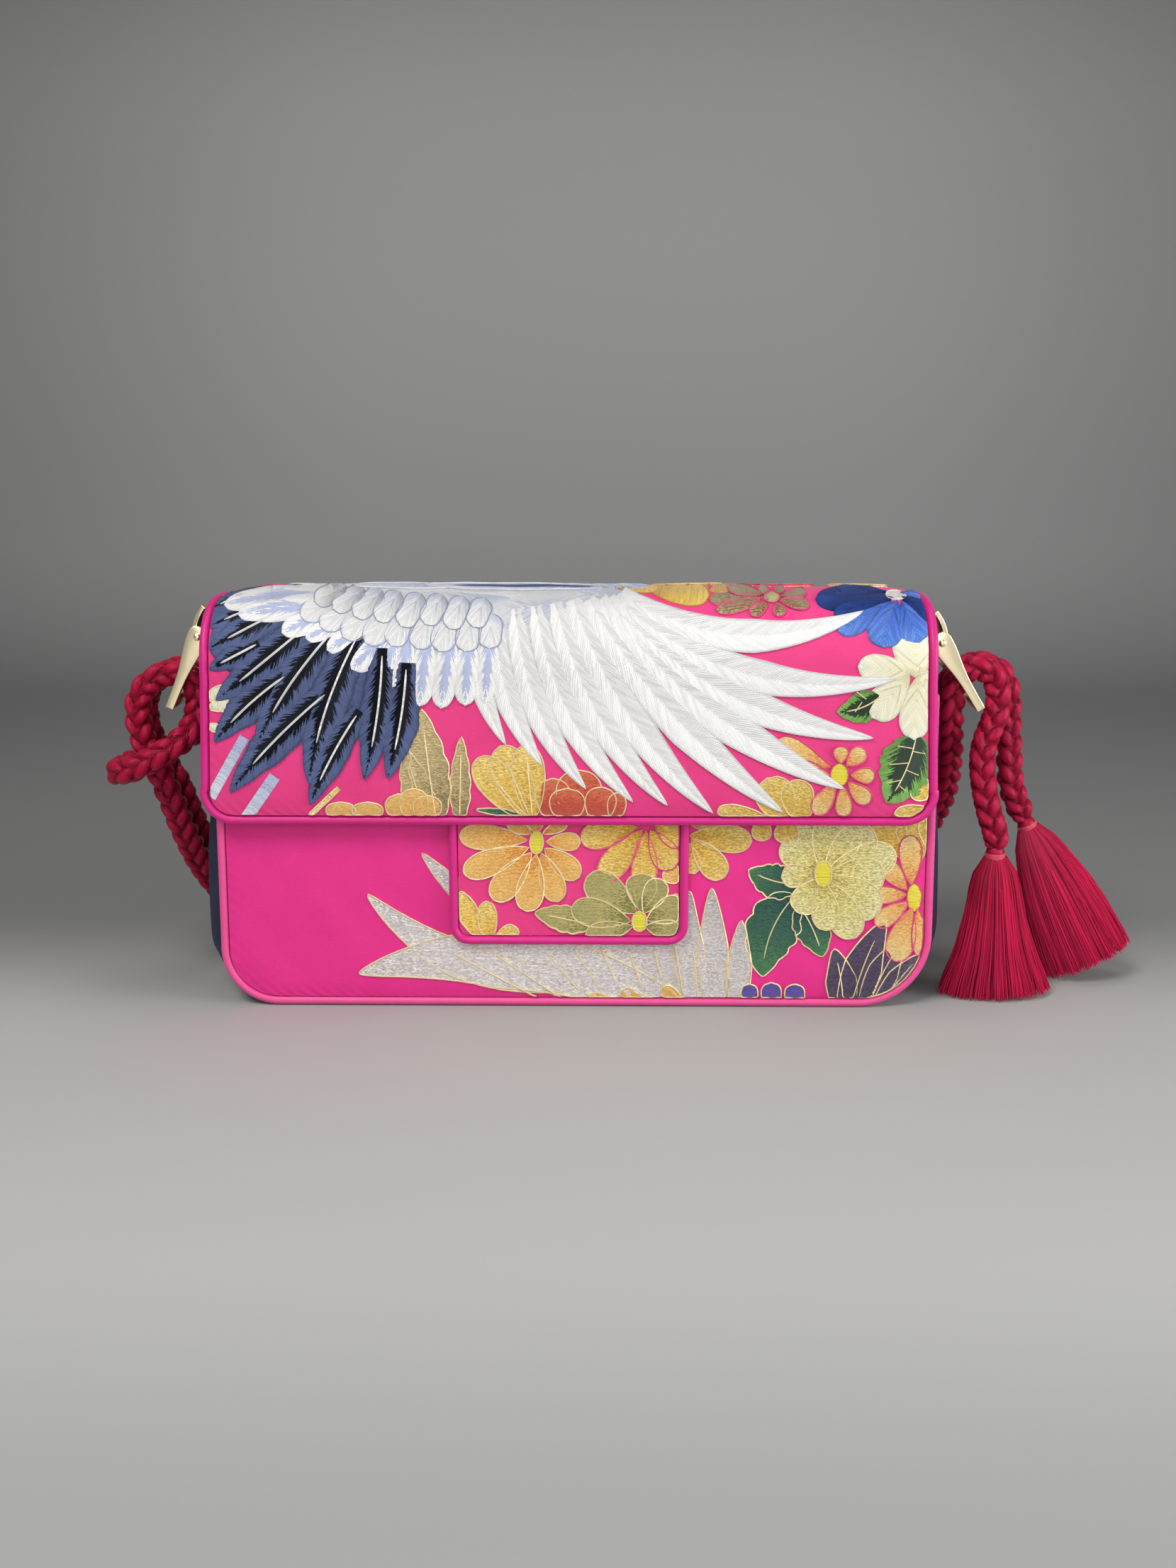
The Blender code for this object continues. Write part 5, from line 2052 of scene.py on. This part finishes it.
# The braid's root colour is painted shade deep in the crevices between its strands; its middle and tip colour
# the lobes.
CORD_SILK = ThreadFinish(
    "braid_silk", (0.045, 0.0005, 0.005), (0.27, 0.004, 0.024), (0.39, 0.006, 0.038), width=0.36,
    waver=0.2, depth=0.00007, roughness=0.3, sheen=0.0, unevenness=0.2, gloss=(0.95, 0.22, 0.42))
TASSEL_SILK = ThreadFinish(
    "tassel_silk", (0.28, 0.006, 0.028), (0.37, 0.008, 0.042), (0.35, 0.007, 0.039), width=0.34, waver=0.0,
    depth=0.00002, roughness=0.36, sheen=0.0, unevenness=0.75, gloss=(0.95, 0.22, 0.42))
BINDING_SILK = one_colour("binding_silk", (0.62, 0.05, 0.10), width=0.3, depth=0.00003)
GILT = GiltFinish("polished_gilt", (1.0, 0.87, 0.57), 0.3)

# Embroidery threads
# In the threads below, rim paints shade along each shape's edges and shade paints it on one half of each
# shape.
SLATE = ThreadFinish(
    "slate", (0.085, 0.11, 0.22), (0.09, 0.12, 0.25), (0.10, 0.135, 0.28), sheen=0.02,
    gloss=(0.3, 0.33, 0.45), core=(0.002, 0.002, 0.003), core_width=0.5, rim=0.4)
SLATE_GROUND = replace(SLATE, name="slate_ground", core=None)
NAVY = ThreadFinish(
    "navy", (0.004, 0.014, 0.085), (0.006, 0.030, 0.18), (0.012, 0.05, 0.26), sheen=0.03,
    gloss=(0.3, 0.4, 0.9), rim=0.3)
SKY = ThreadFinish("sky", (0.025, 0.09, 0.42), (0.05, 0.15, 0.60), (0.09, 0.24, 0.70), sheen=0.08, rim=0.3)
WHITE = ThreadFinish(
    "white", (0.84, 0.835, 0.82), (0.95, 0.945, 0.93), (0.97, 0.97, 0.95), width=0.42, sheen=0.15,
    unevenness=0.14, shade=0.17, rim=0.3)
COVERT_WHITE = ThreadFinish(
    "covert_white", (0.48, 0.52, 0.64), (0.86, 0.86, 0.85), (0.93, 0.93, 0.91), width=0.4, sheen=0.1,
    unevenness=0.14, rim=0.18, core=(0.50, 0.55, 0.78), core_width=0.44)
PEARL = ThreadFinish(
    "pearl", (0.52, 0.56, 0.66), (0.72, 0.73, 0.74), (0.84, 0.84, 0.83), sheen=0.1, unevenness=0.12,
    rim=0.12)
HAZE_CORD = one_colour("haze_cord", (0.33, 0.37, 0.54), width=0.25)
LAVENDER = ThreadFinish("lavender", (0.42, 0.46, 0.66), (0.60, 0.64, 0.80), (0.70, 0.72, 0.82))
CREAM = ThreadFinish(
    "cream", (0.72, 0.66, 0.38), (0.88, 0.85, 0.62), (0.90, 0.88, 0.70), unevenness=0.16, rim=0.2)
YELLOW = ThreadFinish("yellow", (0.70, 0.36, 0.05), (0.82, 0.52, 0.09), (0.84, 0.60, 0.14))
LEMON = ThreadFinish("lemon", (0.80, 0.66, 0.03), (0.84, 0.74, 0.06), (0.84, 0.74, 0.06), waver=0.08)
ORANGE = ThreadFinish(
    "orange", (0.76, 0.32, 0.05), (0.86, 0.47, 0.12), (0.88, 0.54, 0.16), sheen=0.1, woven=True)
APRICOT = ThreadFinish(
    "apricot", (0.80, 0.30, 0.09), (0.84, 0.50, 0.16), (0.86, 0.62, 0.26), sheen=0.1, woven=True)
CORAL = ThreadFinish("coral", (0.66, 0.085, 0.035), (0.62, 0.065, 0.03), (0.70, 0.15, 0.07), woven=True)
GOLD = ThreadFinish(
    "gold", (0.80, 0.46, 0.06), (0.92, 0.61, 0.13), (0.97, 0.70, 0.21), metallic=0.4, roughness=0.36,
    unevenness=0.55, woven=True)
OLD_GOLD = ThreadFinish(
    "old_gold", (0.36, 0.27, 0.12), (0.56, 0.44, 0.22), (0.66, 0.52, 0.26), metallic=0.55, roughness=0.36,
    unevenness=0.4, woven=True)
PALE_GOLD = ThreadFinish(
    "pale_gold", (0.72, 0.60, 0.16), (0.90, 0.80, 0.30), (0.96, 0.90, 0.44), metallic=0.4, roughness=0.34,
    unevenness=0.6, woven=True)
BRONZE = ThreadFinish(
    "bronze", (0.30, 0.13, 0.02), (0.28, 0.18, 0.08), (0.34, 0.24, 0.12), metallic=0.4, unevenness=0.5,
    woven=True)
OLIVE = ThreadFinish(
    "olive", (0.28, 0.27, 0.07), (0.50, 0.44, 0.16), (0.46, 0.42, 0.15), metallic=0.3, unevenness=0.45,
    woven=True)
LEAF_GREEN = ThreadFinish(
    "leaf_green", (0.12, 0.27, 0.05), (0.15, 0.36, 0.06), (0.22, 0.46, 0.10), core=(0.008, 0.035, 0.012),
    core_width=0.66)
PINE = ThreadFinish("pine", (0.012, 0.075, 0.06), (0.03, 0.12, 0.075), (0.06, 0.20, 0.08), woven=True)
SILVER = ThreadFinish(
    "silver", (0.90, 0.86, 0.83), (0.86, 0.81, 0.79), (0.72, 0.68, 0.67), metallic=0.5, roughness=0.32,
    unevenness=0.6, woven=True)
PLUM = ThreadFinish(
    "plum", (0.05, 0.035, 0.085), (0.085, 0.06, 0.12), (0.12, 0.085, 0.15), metallic=0.3, unevenness=0.5,
    woven=True)
VIOLET = ThreadFinish("violet", (0.06, 0.035, 0.26), (0.10, 0.06, 0.36), (0.11, 0.07, 0.38), woven=True)
CREAM_CORD = one_colour("cream_cord", (0.92, 0.74, 0.40), width=0.25)
PINK_CORD = one_colour("pink_cord", (0.80, 0.06, 0.22), width=0.25)
WHITE_CORD = one_colour("white_cord", (0.84, 0.84, 0.84), width=0.25)

# How each kind of motif is worked
SLATE_FEATHER = Stitching(
    Shape.FEATHER, SLATE, 1.0, 38, ragged=0.07, vein=WHITE_CORD, vein_width=0.0009, vein_end=0.74)
PRIMARY = Stitching(Shape.FEATHER, WHITE, 2.0, 28, dome=0.0005, crease=0.0002)
COVERT = Stitching(Shape.COVERT, COVERT_WHITE, 3.0, 24, dome=0.00034)
SCALE = Stitching(Shape.COVERT, PEARL, 4.6, 24, dome=0.0003, edging=HAZE_CORD, edging_width=0.0004)
DOWN = Stitching(Shape.OVAL, PEARL, 2.4, 50, dome=0.0004)
STEM = Stitching(Shape.STEM, LAVENDER, 0.5, 70)


def outlined(shape: Shape, finish: ThreadFinish, layer: float, edging: ThreadFinish = CREAM_CORD,
             slant: float = 90.0, vein: bool = False) -> Stitching:
    """Flat stitching inside a couched outline.

    Args:
        shape: The outline.
        finish: The thread inside it.
        layer: How many layers it lies above the cloth.
        edging: The thread of the outline.
        slant: The angle in degrees between the stitches and the shape's middle.
        vein: Whether the outline's thread runs along its middle too.

    Returns:
        The stitching.
    """
    return Stitching(shape, finish, layer, slant, edging=edging, vein=edging if vein else None)


# The wing on the flap, in squares of the picture
WING = [
    Motif(STEM, [(345, 1040, 296, 1126, 15), (388, 1095, 345, 1157, 17)]),
    Motif(Stitching(Shape.OVAL, SLATE_GROUND, 0.5, 38), [
        (575, 935, 292, 900, 132), (560, 990, 420, 990, 64), (420, 850, 285, 866, 60)]),
    Motif(SLATE_FEATHER, [
        (360, 838, 293, 853, 30), (392, 848, 290, 882, 34), (410, 858, 291, 915, 46),
        (366, 908, 292, 945, 34), (440, 880, 303, 989, 56), (408, 950, 301, 1048, 50, 0.04),
        (478, 885, 362, 1052, 60, 0.05), (468, 972, 324, 1118, 56, 0.03), (510, 890, 436, 1106, 60, 0.05),
        (508, 1002, 437, 1136, 44, 0.03), (540, 915, 514, 1100, 52, -0.03),
        (574, 935, 547, 1098, 52, -0.03)]),
    Motif(replace(DOWN, layer=1.2), [(870, 862, 596, 888, 84)]),
    Motif(PRIMARY, [
        (672, 872, 714, 1051, 32, 0.08), (700, 868, 765, 1080, 38, 0.08), (728, 862, 827, 1113, 42, 0.08),
        (756, 858, 893, 1132, 44, 0.08), (784, 854, 942, 1137, 46, 0.07), (808, 850, 1006, 1148, 50, 0.06),
        (830, 850, 1105, 1147, 54, 0.05), (846, 850, 1191, 1113, 56, 0.06),
        (858, 850, 1232, 1041, 52, 0.09), (868, 848, 1265, 957, 48, 0.12),
        (876, 842, 1217, 865, 46, 0.13)], rise=0.00004),
    Motif(DOWN, [
        (600, 878, 330, 842, 46), (800, 858, 600, 868, 60), (905, 842, 640, 842, 26),
        (800, 833, 400, 833, 22), (720, 848, 400, 848, 32)]),
    Motif(COVERT, [
        (440, 836, 316, 852, 30), (470, 842, 336, 868, 32), (470, 855, 352, 868, 30),
        (500, 852, 398, 894, 36), (510, 866, 432, 902, 36), (545, 868, 462, 918, 38),
        (560, 880, 496, 944, 40), (565, 895, 528, 970, 38), (582, 876, 560, 986, 36),
        (606, 874, 592, 996, 36), (640, 874, 622, 999, 36), (664, 874, 656, 995, 36),
        (694, 872, 684, 992, 32)], rise=0.00001),
    Motif(SCALE, [
        (500, 842, 424, 872, 34), (520, 848, 452, 886, 34), (545, 852, 484, 900, 36),
        (570, 858, 516, 908, 36), (580, 860, 552, 912, 34), (612, 862, 588, 916, 36),
        (640, 864, 620, 920, 36), (668, 866, 656, 920, 34), (695, 868, 690, 916, 32)], rise=0.00001),
    Motif(replace(SCALE, layer=6.4), [
        (490, 832, 444, 852, 28), (515, 836, 470, 862, 28), (540, 838, 500, 872, 30),
        (565, 840, 532, 878, 30), (595, 842, 566, 886, 32), (625, 844, 600, 884, 30),
        (655, 846, 634, 890, 30), (685, 848, 668, 888, 30)], rise=0.00001),
    Motif(outlined(Shape.OVAL, LAVENDER, 8.0, WHITE_CORD, 60), [
        (640, 833, 500, 831, 7), (850, 834, 600, 831, 9)]),
    Motif(Stitching(Shape.OVAL, SLATE_GROUND, 9.0, 60), [(838, 833.5, 640, 831, 5)]),
]

# The rest of the flap's front
FLAP_BLOSSOMS = [
    Motif(outlined(Shape.PETAL, CREAM, 0.2), [
        (282, 990, 322, 972, 20), (284, 1000, 338, 992, 18), (282, 1026, 312, 1028, 12)]),
    Motif(outlined(Shape.STEM, PALE_GOLD, 0.2), [(478, 1112, 436, 1152, 6)]),
    Motif(outlined(Shape.LEAF, OLD_GOLD, 0.6, vein=True), [
        (604, 1165, 571, 1056, 46), (616, 1165, 594, 1000, 58), (648, 1165, 651, 1039, 30)]),
    Motif(outlined(Shape.PETAL, ORANGE, 0.9), [
        (480, 1168, 480, 1132, 42), (518, 1168, 518, 1132, 44), (566, 1170, 562, 1120, 40),
        (600, 1170, 604, 1122, 40), (583, 1172, 584, 1112, 40)]),
    Motif(outlined(Shape.PETAL, GOLD, 0.6, vein=True), [
        (752, 1165, 672, 1070, 50), (752, 1165, 706, 1052, 52), (752, 1165, 742, 1050, 46)]),
    Motif(outlined(Shape.LEAF, PINE, 0.5), [(732, 1150, 670, 1143, 11)]),
    Motif(outlined(Shape.PETAL, CORAL, 1.0), [
        (786, 1175, 778, 1098, 50), (820, 1175, 815, 1086, 64), (866, 1168, 872, 1118, 26),
        (842, 1172, 850, 1110, 44), (800, 1172, 800, 1112, 50)]),
    Motif(outlined(Shape.PETAL, GOLD, 0.6), [
        (1092, 1160, 1012, 1144, 26), (1115, 1170, 1082, 1098, 54), (1135, 1170, 1120, 1100, 46),
        (1325, 1120, 1284, 1110, 34), (1330, 1148, 1262, 1150, 26)]),
    Motif(outlined(Shape.PETAL, APRICOT, 0.8, PINK_CORD), [
        (1172, 1082, 1098, 1042, 32, -0.05), (1172, 1094, 1120, 1080, 24), (1178, 1104, 1150, 1150, 28),
        (1188, 1108, 1192, 1154, 24), (1196, 1103, 1227, 1133, 25), (1199, 1093, 1234, 1094, 23),
        (1194, 1080, 1219, 1056, 24), (1186, 1077, 1186, 1052, 22)]),
    Motif(outlined(Shape.OVAL, LEMON, 1.6, PINK_CORD, 90), [(1184, 1110, 1184, 1076, 26)]),
    Motif(Stitching(Shape.LEAF, LEAF_GREEN, 2.6, 44, ragged=0.05, vein=CREAM_CORD), [
        (1244, 980, 1180, 1004, 46, -0.1), (1293, 1036, 1250, 1133, 84, -0.06)]),
    Motif(Stitching(Shape.STEM, CREAM_CORD, 3.0, dome=0.0004), [
        (1289, 1056, 1266, 1052, 2), (1282, 1076, 1254, 1078, 2), (1272, 1100, 1250, 1104, 2),
        (1288, 1060, 1306, 1064, 2), (1278, 1086, 1296, 1094, 2), (1268, 1108, 1278, 1116, 2),
        (1222, 986, 1208, 976, 2), (1216, 990, 1206, 1004, 2)], rise=0.0),
    Motif(outlined(Shape.PETAL, YELLOW, 0.8, YELLOW), [
        (905, 826, 1000, 842, 36), (862, 828, 930, 831, 14), (1000, 836, 1036, 828, 14)]),
    Motif(outlined(Shape.PETAL, BRONZE, 0.8, PINK_CORD, 80), [
        (1075, 846, 1000, 846, 20), (1077, 850, 1010, 862, 18), (1084, 853, 1058, 868, 18),
        (1094, 853, 1104, 870, 18), (1099, 849, 1142, 856, 17), (1101, 843, 1137, 836, 16),
        (1094, 838, 1104, 829, 14), (1084, 838, 1072, 829, 14), (1077, 840, 1026, 832, 16)]),
    Motif(outlined(Shape.OVAL, OLIVE, 1.4, PINK_CORD, 90), [(1077, 844, 1100, 844, 15)]),
    Motif(Stitching(Shape.PETAL, CREAM, 0.8, 34, dome=0.0004), [
        (1296, 960, 1290, 890, 66), (1292, 948, 1210, 940, 40), (1298, 940, 1325, 1000, 46),
        (1284, 952, 1229, 1012, 50), (1296, 952, 1289, 1044, 46)], rise=0.00006),
    Motif(Stitching(Shape.PETAL, NAVY, 0.9, 34, dome=0.0004), [
        (1262, 844, 1150, 846, 36), (1258, 846, 1176, 868, 34), (1272, 842, 1322, 864, 36),
        (1250, 836, 1180, 832, 18)], rise=0.00006),
    Motif(Stitching(Shape.PETAL, SKY, 1.4, 30, dome=0.0004), [
        (1258, 850, 1182, 892, 34), (1266, 848, 1246, 914, 52, 0.05), (1272, 848, 1298, 906, 46),
        (1270, 836, 1306, 832, 14)], rise=0.00006),
    Motif(outlined(Shape.OVAL, SILVER, 2.2, WHITE_CORD, 90), [(1249, 840, 1278, 840, 14)]),
]

# The closing tab
TAB_BLOSSOMS = [
    Motif(outlined(Shape.PETAL, ORANGE, 0.3), [
        (765, 1176, 800, 1160, 16), (757, 1175, 754, 1150, 24), (750, 1176, 716, 1158, 20),
        (744, 1185, 648, 1178, 36), (770, 1187, 819, 1187, 25), (746, 1195, 654, 1231, 37),
        (768, 1196, 817, 1237, 33), (750, 1202, 696, 1269, 39), (764, 1203, 788, 1271, 34),
        (757, 1205, 743, 1285, 39)]),
    Motif(outlined(Shape.OVAL, LEMON, 1.2, CREAM_CORD, 90), [(757, 1205, 757, 1172, 19)]),
    Motif(outlined(Shape.PETAL, GOLD, 0.3, PINK_CORD), [
        (900, 1166, 818, 1184, 40), (906, 1170, 848, 1240, 40), (911, 1172, 908, 1255, 37),
        (917, 1170, 950, 1226, 40), (922, 1160, 968, 1188, 36)]),
    Motif(outlined(Shape.PETAL, ORANGE, 0.3), [(985, 1230, 934, 1236, 24), (975, 1320, 950, 1262, 36)]),
    Motif(outlined(Shape.PETAL, OLIVE, 1.6), [
        (898, 1288, 828, 1236, 48), (903, 1284, 906, 1232, 44), (908, 1288, 934, 1240, 34),
        (912, 1297, 966, 1274, 38), (910, 1306, 962, 1316, 30), (890, 1299, 806, 1280, 40),
        (893, 1306, 826, 1320, 30)]),
    Motif(outlined(Shape.LEAF, OLIVE, 2.0, vein=True), [(836, 1304, 754, 1287, 40)]),
    Motif(outlined(Shape.OVAL, LEMON, 2.7, CREAM_CORD, 90), [(902, 1314, 902, 1285, 21)]),
    Motif(outlined(Shape.PETAL, GOLD, 0.3), [
        (690, 1338, 642, 1258, 30), (690, 1338, 686, 1271, 27), (696, 1336, 730, 1309, 27)]),
]

# The body's front
PANEL_BLOSSOMS = [
    Motif(outlined(Shape.FEATHER, SILVER, 0.2, slant=40), [
        (760, 1330, 595, 1203, 34, -0.05), (830, 1380, 518, 1261, 52, -0.12),
        (940, 1422, 506, 1373, 84, 0.10)]),
    Motif(Stitching(Shape.COVERT, SILVER, 0.1, 50), [(760, 1374, 1046, 1385, 100)]),
    Motif(outlined(Shape.FEATHER, SILVER, 0.5, slant=40), [
        (990, 1440, 973, 1256, 44, -0.05), (1038, 1440, 1046, 1298, 36), (1008, 1440, 1004, 1252, 42)]),
    Motif(Stitching(Shape.STEM, CREAM_CORD, 1.0, dome=0.0004), [
        (697, 1345, 792, 1409, 2.4), (769, 1341, 816, 1397, 2.4), (812, 1341, 844, 1393, 2.4),
        (848, 1338, 868, 1385, 2.4), (887, 1341, 905, 1393, 2.4), (923, 1341, 933, 1381, 2.4),
        (952, 1334, 964, 1405, 2.4), (640, 1345, 760, 1410, 2.4), (978, 1340, 985, 1416, 2.4),
        (1030, 1350, 1022, 1412, 2.4)], rise=0.0),
    Motif(outlined(Shape.PETAL, ORANGE, 1.2), [
        (880, 1425, 828, 1406, 20), (925, 1425, 876, 1398, 22), (968, 1425, 934, 1392, 20)]),
    Motif(outlined(Shape.PETAL, GOLD, 0.4), [
        (975, 1165, 1040, 1156, 26), (966, 1185, 980, 1232, 26), (972, 1178, 1060, 1186, 38),
        (975, 1182, 1021, 1238, 38), (1074, 1150, 1074, 1186, 27), (1115, 1150, 1106, 1190, 34)]),
    Motif(outlined(Shape.PETAL, GOLD, 0.2), [
        (1270, 1210, 1245, 1150, 50), (1300, 1215, 1282, 1150, 48), (1312, 1200, 1310, 1150, 30)]),
    Motif(outlined(Shape.LEAF, PINE, 0.5, vein=True), [
        (1126, 1246, 1056, 1226, 52, -0.08), (1122, 1262, 1076, 1378, 78, 0.1),
        (1126, 1275, 1160, 1350, 54, -0.05)]),
    Motif(outlined(Shape.PETAL, PALE_GOLD, 0.9), [
        (1160, 1232, 1136, 1152, 64), (1160, 1232, 1192, 1150, 70), (1162, 1232, 1230, 1168, 56),
        (1160, 1232, 1104, 1186, 46), (1164, 1230, 1264, 1204, 50), (1152, 1233, 1102, 1236, 32),
        (1164, 1234, 1248, 1236, 50), (1164, 1236, 1240, 1286, 54), (1156, 1238, 1124, 1286, 40),
        (1163, 1240, 1207, 1322, 48), (1160, 1240, 1166, 1312, 38)]),
    Motif(outlined(Shape.OVAL, LEMON, 6.0), [(1161, 1250, 1161, 1213, 24)]),
    Motif(outlined(Shape.PETAL, APRICOT, 0.8, PINK_CORD), [
        (1280, 1262, 1230, 1262, 25), (1280, 1256, 1245, 1214, 28), (1286, 1250, 1284, 1178, 33),
        (1282, 1272, 1234, 1304, 27), (1286, 1280, 1262, 1356, 40), (1294, 1282, 1302, 1352, 26)]),
    Motif(outlined(Shape.OVAL, LEMON, 1.5, PINK_CORD, 90), [(1290, 1286, 1290, 1246, 22)]),
    Motif(outlined(Shape.FEATHER, PLUM, 1.0, slant=40, vein=True), [
        (1190, 1440, 1176, 1338, 44, 0.04), (1196, 1450, 1249, 1298, 54, -0.05),
        (1222, 1440, 1278, 1322, 44, -0.06), (1236, 1436, 1304, 1345, 36, -0.05)]),
    Motif(outlined(Shape.COVERT, VIOLET, 1.6), [
        (1057, 1430, 1057, 1388, 24), (1088, 1430, 1088, 1386, 28), (1121, 1430, 1121, 1388, 28)]),
]

# The flap's top and back, in millimetres across the bag and along the cloth from its front edge
FLAP_TOP = [
    Motif(Stitching(Shape.FEATHER, SLATE, 1.0, 38, vein=WHITE_CORD, vein_width=0.0010), [
        (-60 - 9 * number, 104, -96 - 4 * number, 132 - 5 * number, 12) for number in range(5)]),
    Motif(Stitching(Shape.COVERT, COVERT_WHITE, 2.0, 24, dome=0.00034), [
        (-48 + 9 * number, 96, -62 + 10 * number, 116 + (number % 2) * 3, 11) for number in range(9)]),
    Motif(Stitching(Shape.FEATHER, NAVY, 1.2, 38), [
        (-30 + 12 * number, 112, -44 + 15 * number, 140, 10) for number in range(6)]),
    Motif(outlined(Shape.LEAF, PINE, 1.8, vein=True), [
        (50, 122, 60, 140, 12), (70, 122, 62, 138, 11), (98, 122, 88, 140, 12), (114, 120, 124, 134, 11),
        (30, 120, 22, 136, 11)]),
    Motif(outlined(Shape.PETAL, ORANGE, 2.4), blossom((42, 119), 15, 9, 9, 10)),
    Motif(outlined(Shape.PETAL, GOLD, 2.4, PINK_CORD), blossom((77, 119), 14, 9, 8, 20)),
    Motif(outlined(Shape.PETAL, CREAM, 2.4), blossom((107, 119), 13, 9, 7, 5)),
    Motif(outlined(Shape.PETAL, APRICOT, 2.4, PINK_CORD), blossom((-112, 122), 12, 9, 7, 5)),
    Motif(outlined(Shape.OVAL, LEMON, 3.6, CREAM_CORD, 90), [
        (39, 119, 45, 119, 6), (74, 119, 80, 119, 6), (104, 119, 110, 119, 6), (-115, 122, -109, 122, 6)]),
]


@dataclass
class Bag:
    """The whole bag."""

    camera: PictureCamera
    body: BodyForm = field(default_factory=BodyForm)

    def __post_init__(self) -> None:
        """Work out the forms that depend on the body."""
        self.flap = FlapForm(self.body)
        self.tab = TabForm(self.flap)

    def cords(self) -> None:
        """Make both runs of the cord with their tassels."""
        out, aside, height = -0.160, -0.0054, 0.100
        braid, threads, binding = CORD_SILK.build(), TASSEL_SILK.build(), BINDING_SILK.build()
        front = Tassel("tassel_front_threads", TasselForm.HANGING, FRONT_STRAND[-2:], lean=(0.045, 0.03),
                       length=0.0538, half_width=0.0215, half_depth=0.0120, seed=4)
        back = Tassel("tassel_back_threads", TasselForm.SPLAYED, BACK_STRAND[-2:], lean=(0.49, -0.02),
                      length=0.0594, half_width=0.0175, half_depth=0.0115, seed=9)
        for label, way, route, tassel in (("front", 1, FRONT_STRAND, front), ("back", -1, BACK_STRAND, back)):
            skirt = tassel.build(threads, binding, "tassel_" + label)
            cord = BraidedCord("strand_" + label + "_braid", route)
            cord.build(braid, skirt, "strand_" + label, (out, way * aside, height))

    def cloths(self) -> None:
        """Make the panels, the gusset, the flap and the tab."""
        flap_silk, body_silk = FLAP_SILK.build(), BODY_SILK.build()
        self.body.panel(-1).build(body_silk, "front_panel", fill=0.3)
        self.body.panel(1).build(body_silk, "back_panel", fill=0.3)
        GussetStrip(self.body).build(GUSSET_SILK.build())
        self.flap.sheet().build(flap_silk, "flap", fill=0.5)
        self.tab.sheet().build(flap_silk, "tab", fill=0.3)

    def embroidery(self) -> None:
        """Work every motif onto the flap, the tab and the body's front."""
        embroiderer = Embroiderer(self.camera)
        flap = self.flap.sheet()
        embroiderer.motifs(flap, FLAP_BLOSSOMS)
        embroiderer.motifs(flap, WING)
        embroiderer.motifs(flap, FLAP_TOP, in_picture=False)
        embroiderer.motifs(self.tab.sheet(), TAB_BLOSSOMS)
        embroiderer.motifs(self.body.panel(-1), PANEL_BLOSSOMS)
        embroiderer.build()

    def edges(self) -> None:
        """Make the piping of every seam."""
        silk = PIPING_SILK.build()
        # Paler silk for the body's piping: painted highlight.
        painted_highlight_silk = BODY_PIPING_PAINTED_HIGHLIGHT_SILK.build()
        outline = self.body.outline(self.body.piping / 2 + GAP)
        for label, facing in (("front", -1), ("back", 1)):
            line = together(outline[:, 0], facing * self.body.seam_depth, outline[:, 1])
            Piping(label + "_piping_silk", line, self.body.piping).build(painted_highlight_silk, label + "_piping")
        Piping("flap_piping_silk", self.flap.edge(), self.flap.piping).build(silk, "flap_piping")
        Piping("tab_piping_silk", self.tab.edge(), self.tab.piping).build(silk, "tab_piping")

    def hardware(self) -> None:
        """Make both hinges."""
        gilt = GILT.build()
        Hinge(Side.LEFT, out=0.0066, height=0.1378, swing=24.0, body=self.body).build(gilt)
        Hinge(Side.RIGHT, out=0.0017, height=0.1356, swing=32.0, body=self.body).build(gilt)

    def build(self) -> None:
        """Make every piece."""
        self.cords()
        self.cloths()
        self.embroidery()
        self.edges()
        self.hardware()


def main() -> None:
    """Load the frame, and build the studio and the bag."""
    logging.basicConfig(level=logging.INFO, format="%(message)s")
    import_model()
    bpy.context.scene.view_settings.view_transform = "Standard"
    camera = PictureCamera()
    camera.build()
    Studio().build()
    Bag(camera).build()


if __name__ == "__main__":
    main()
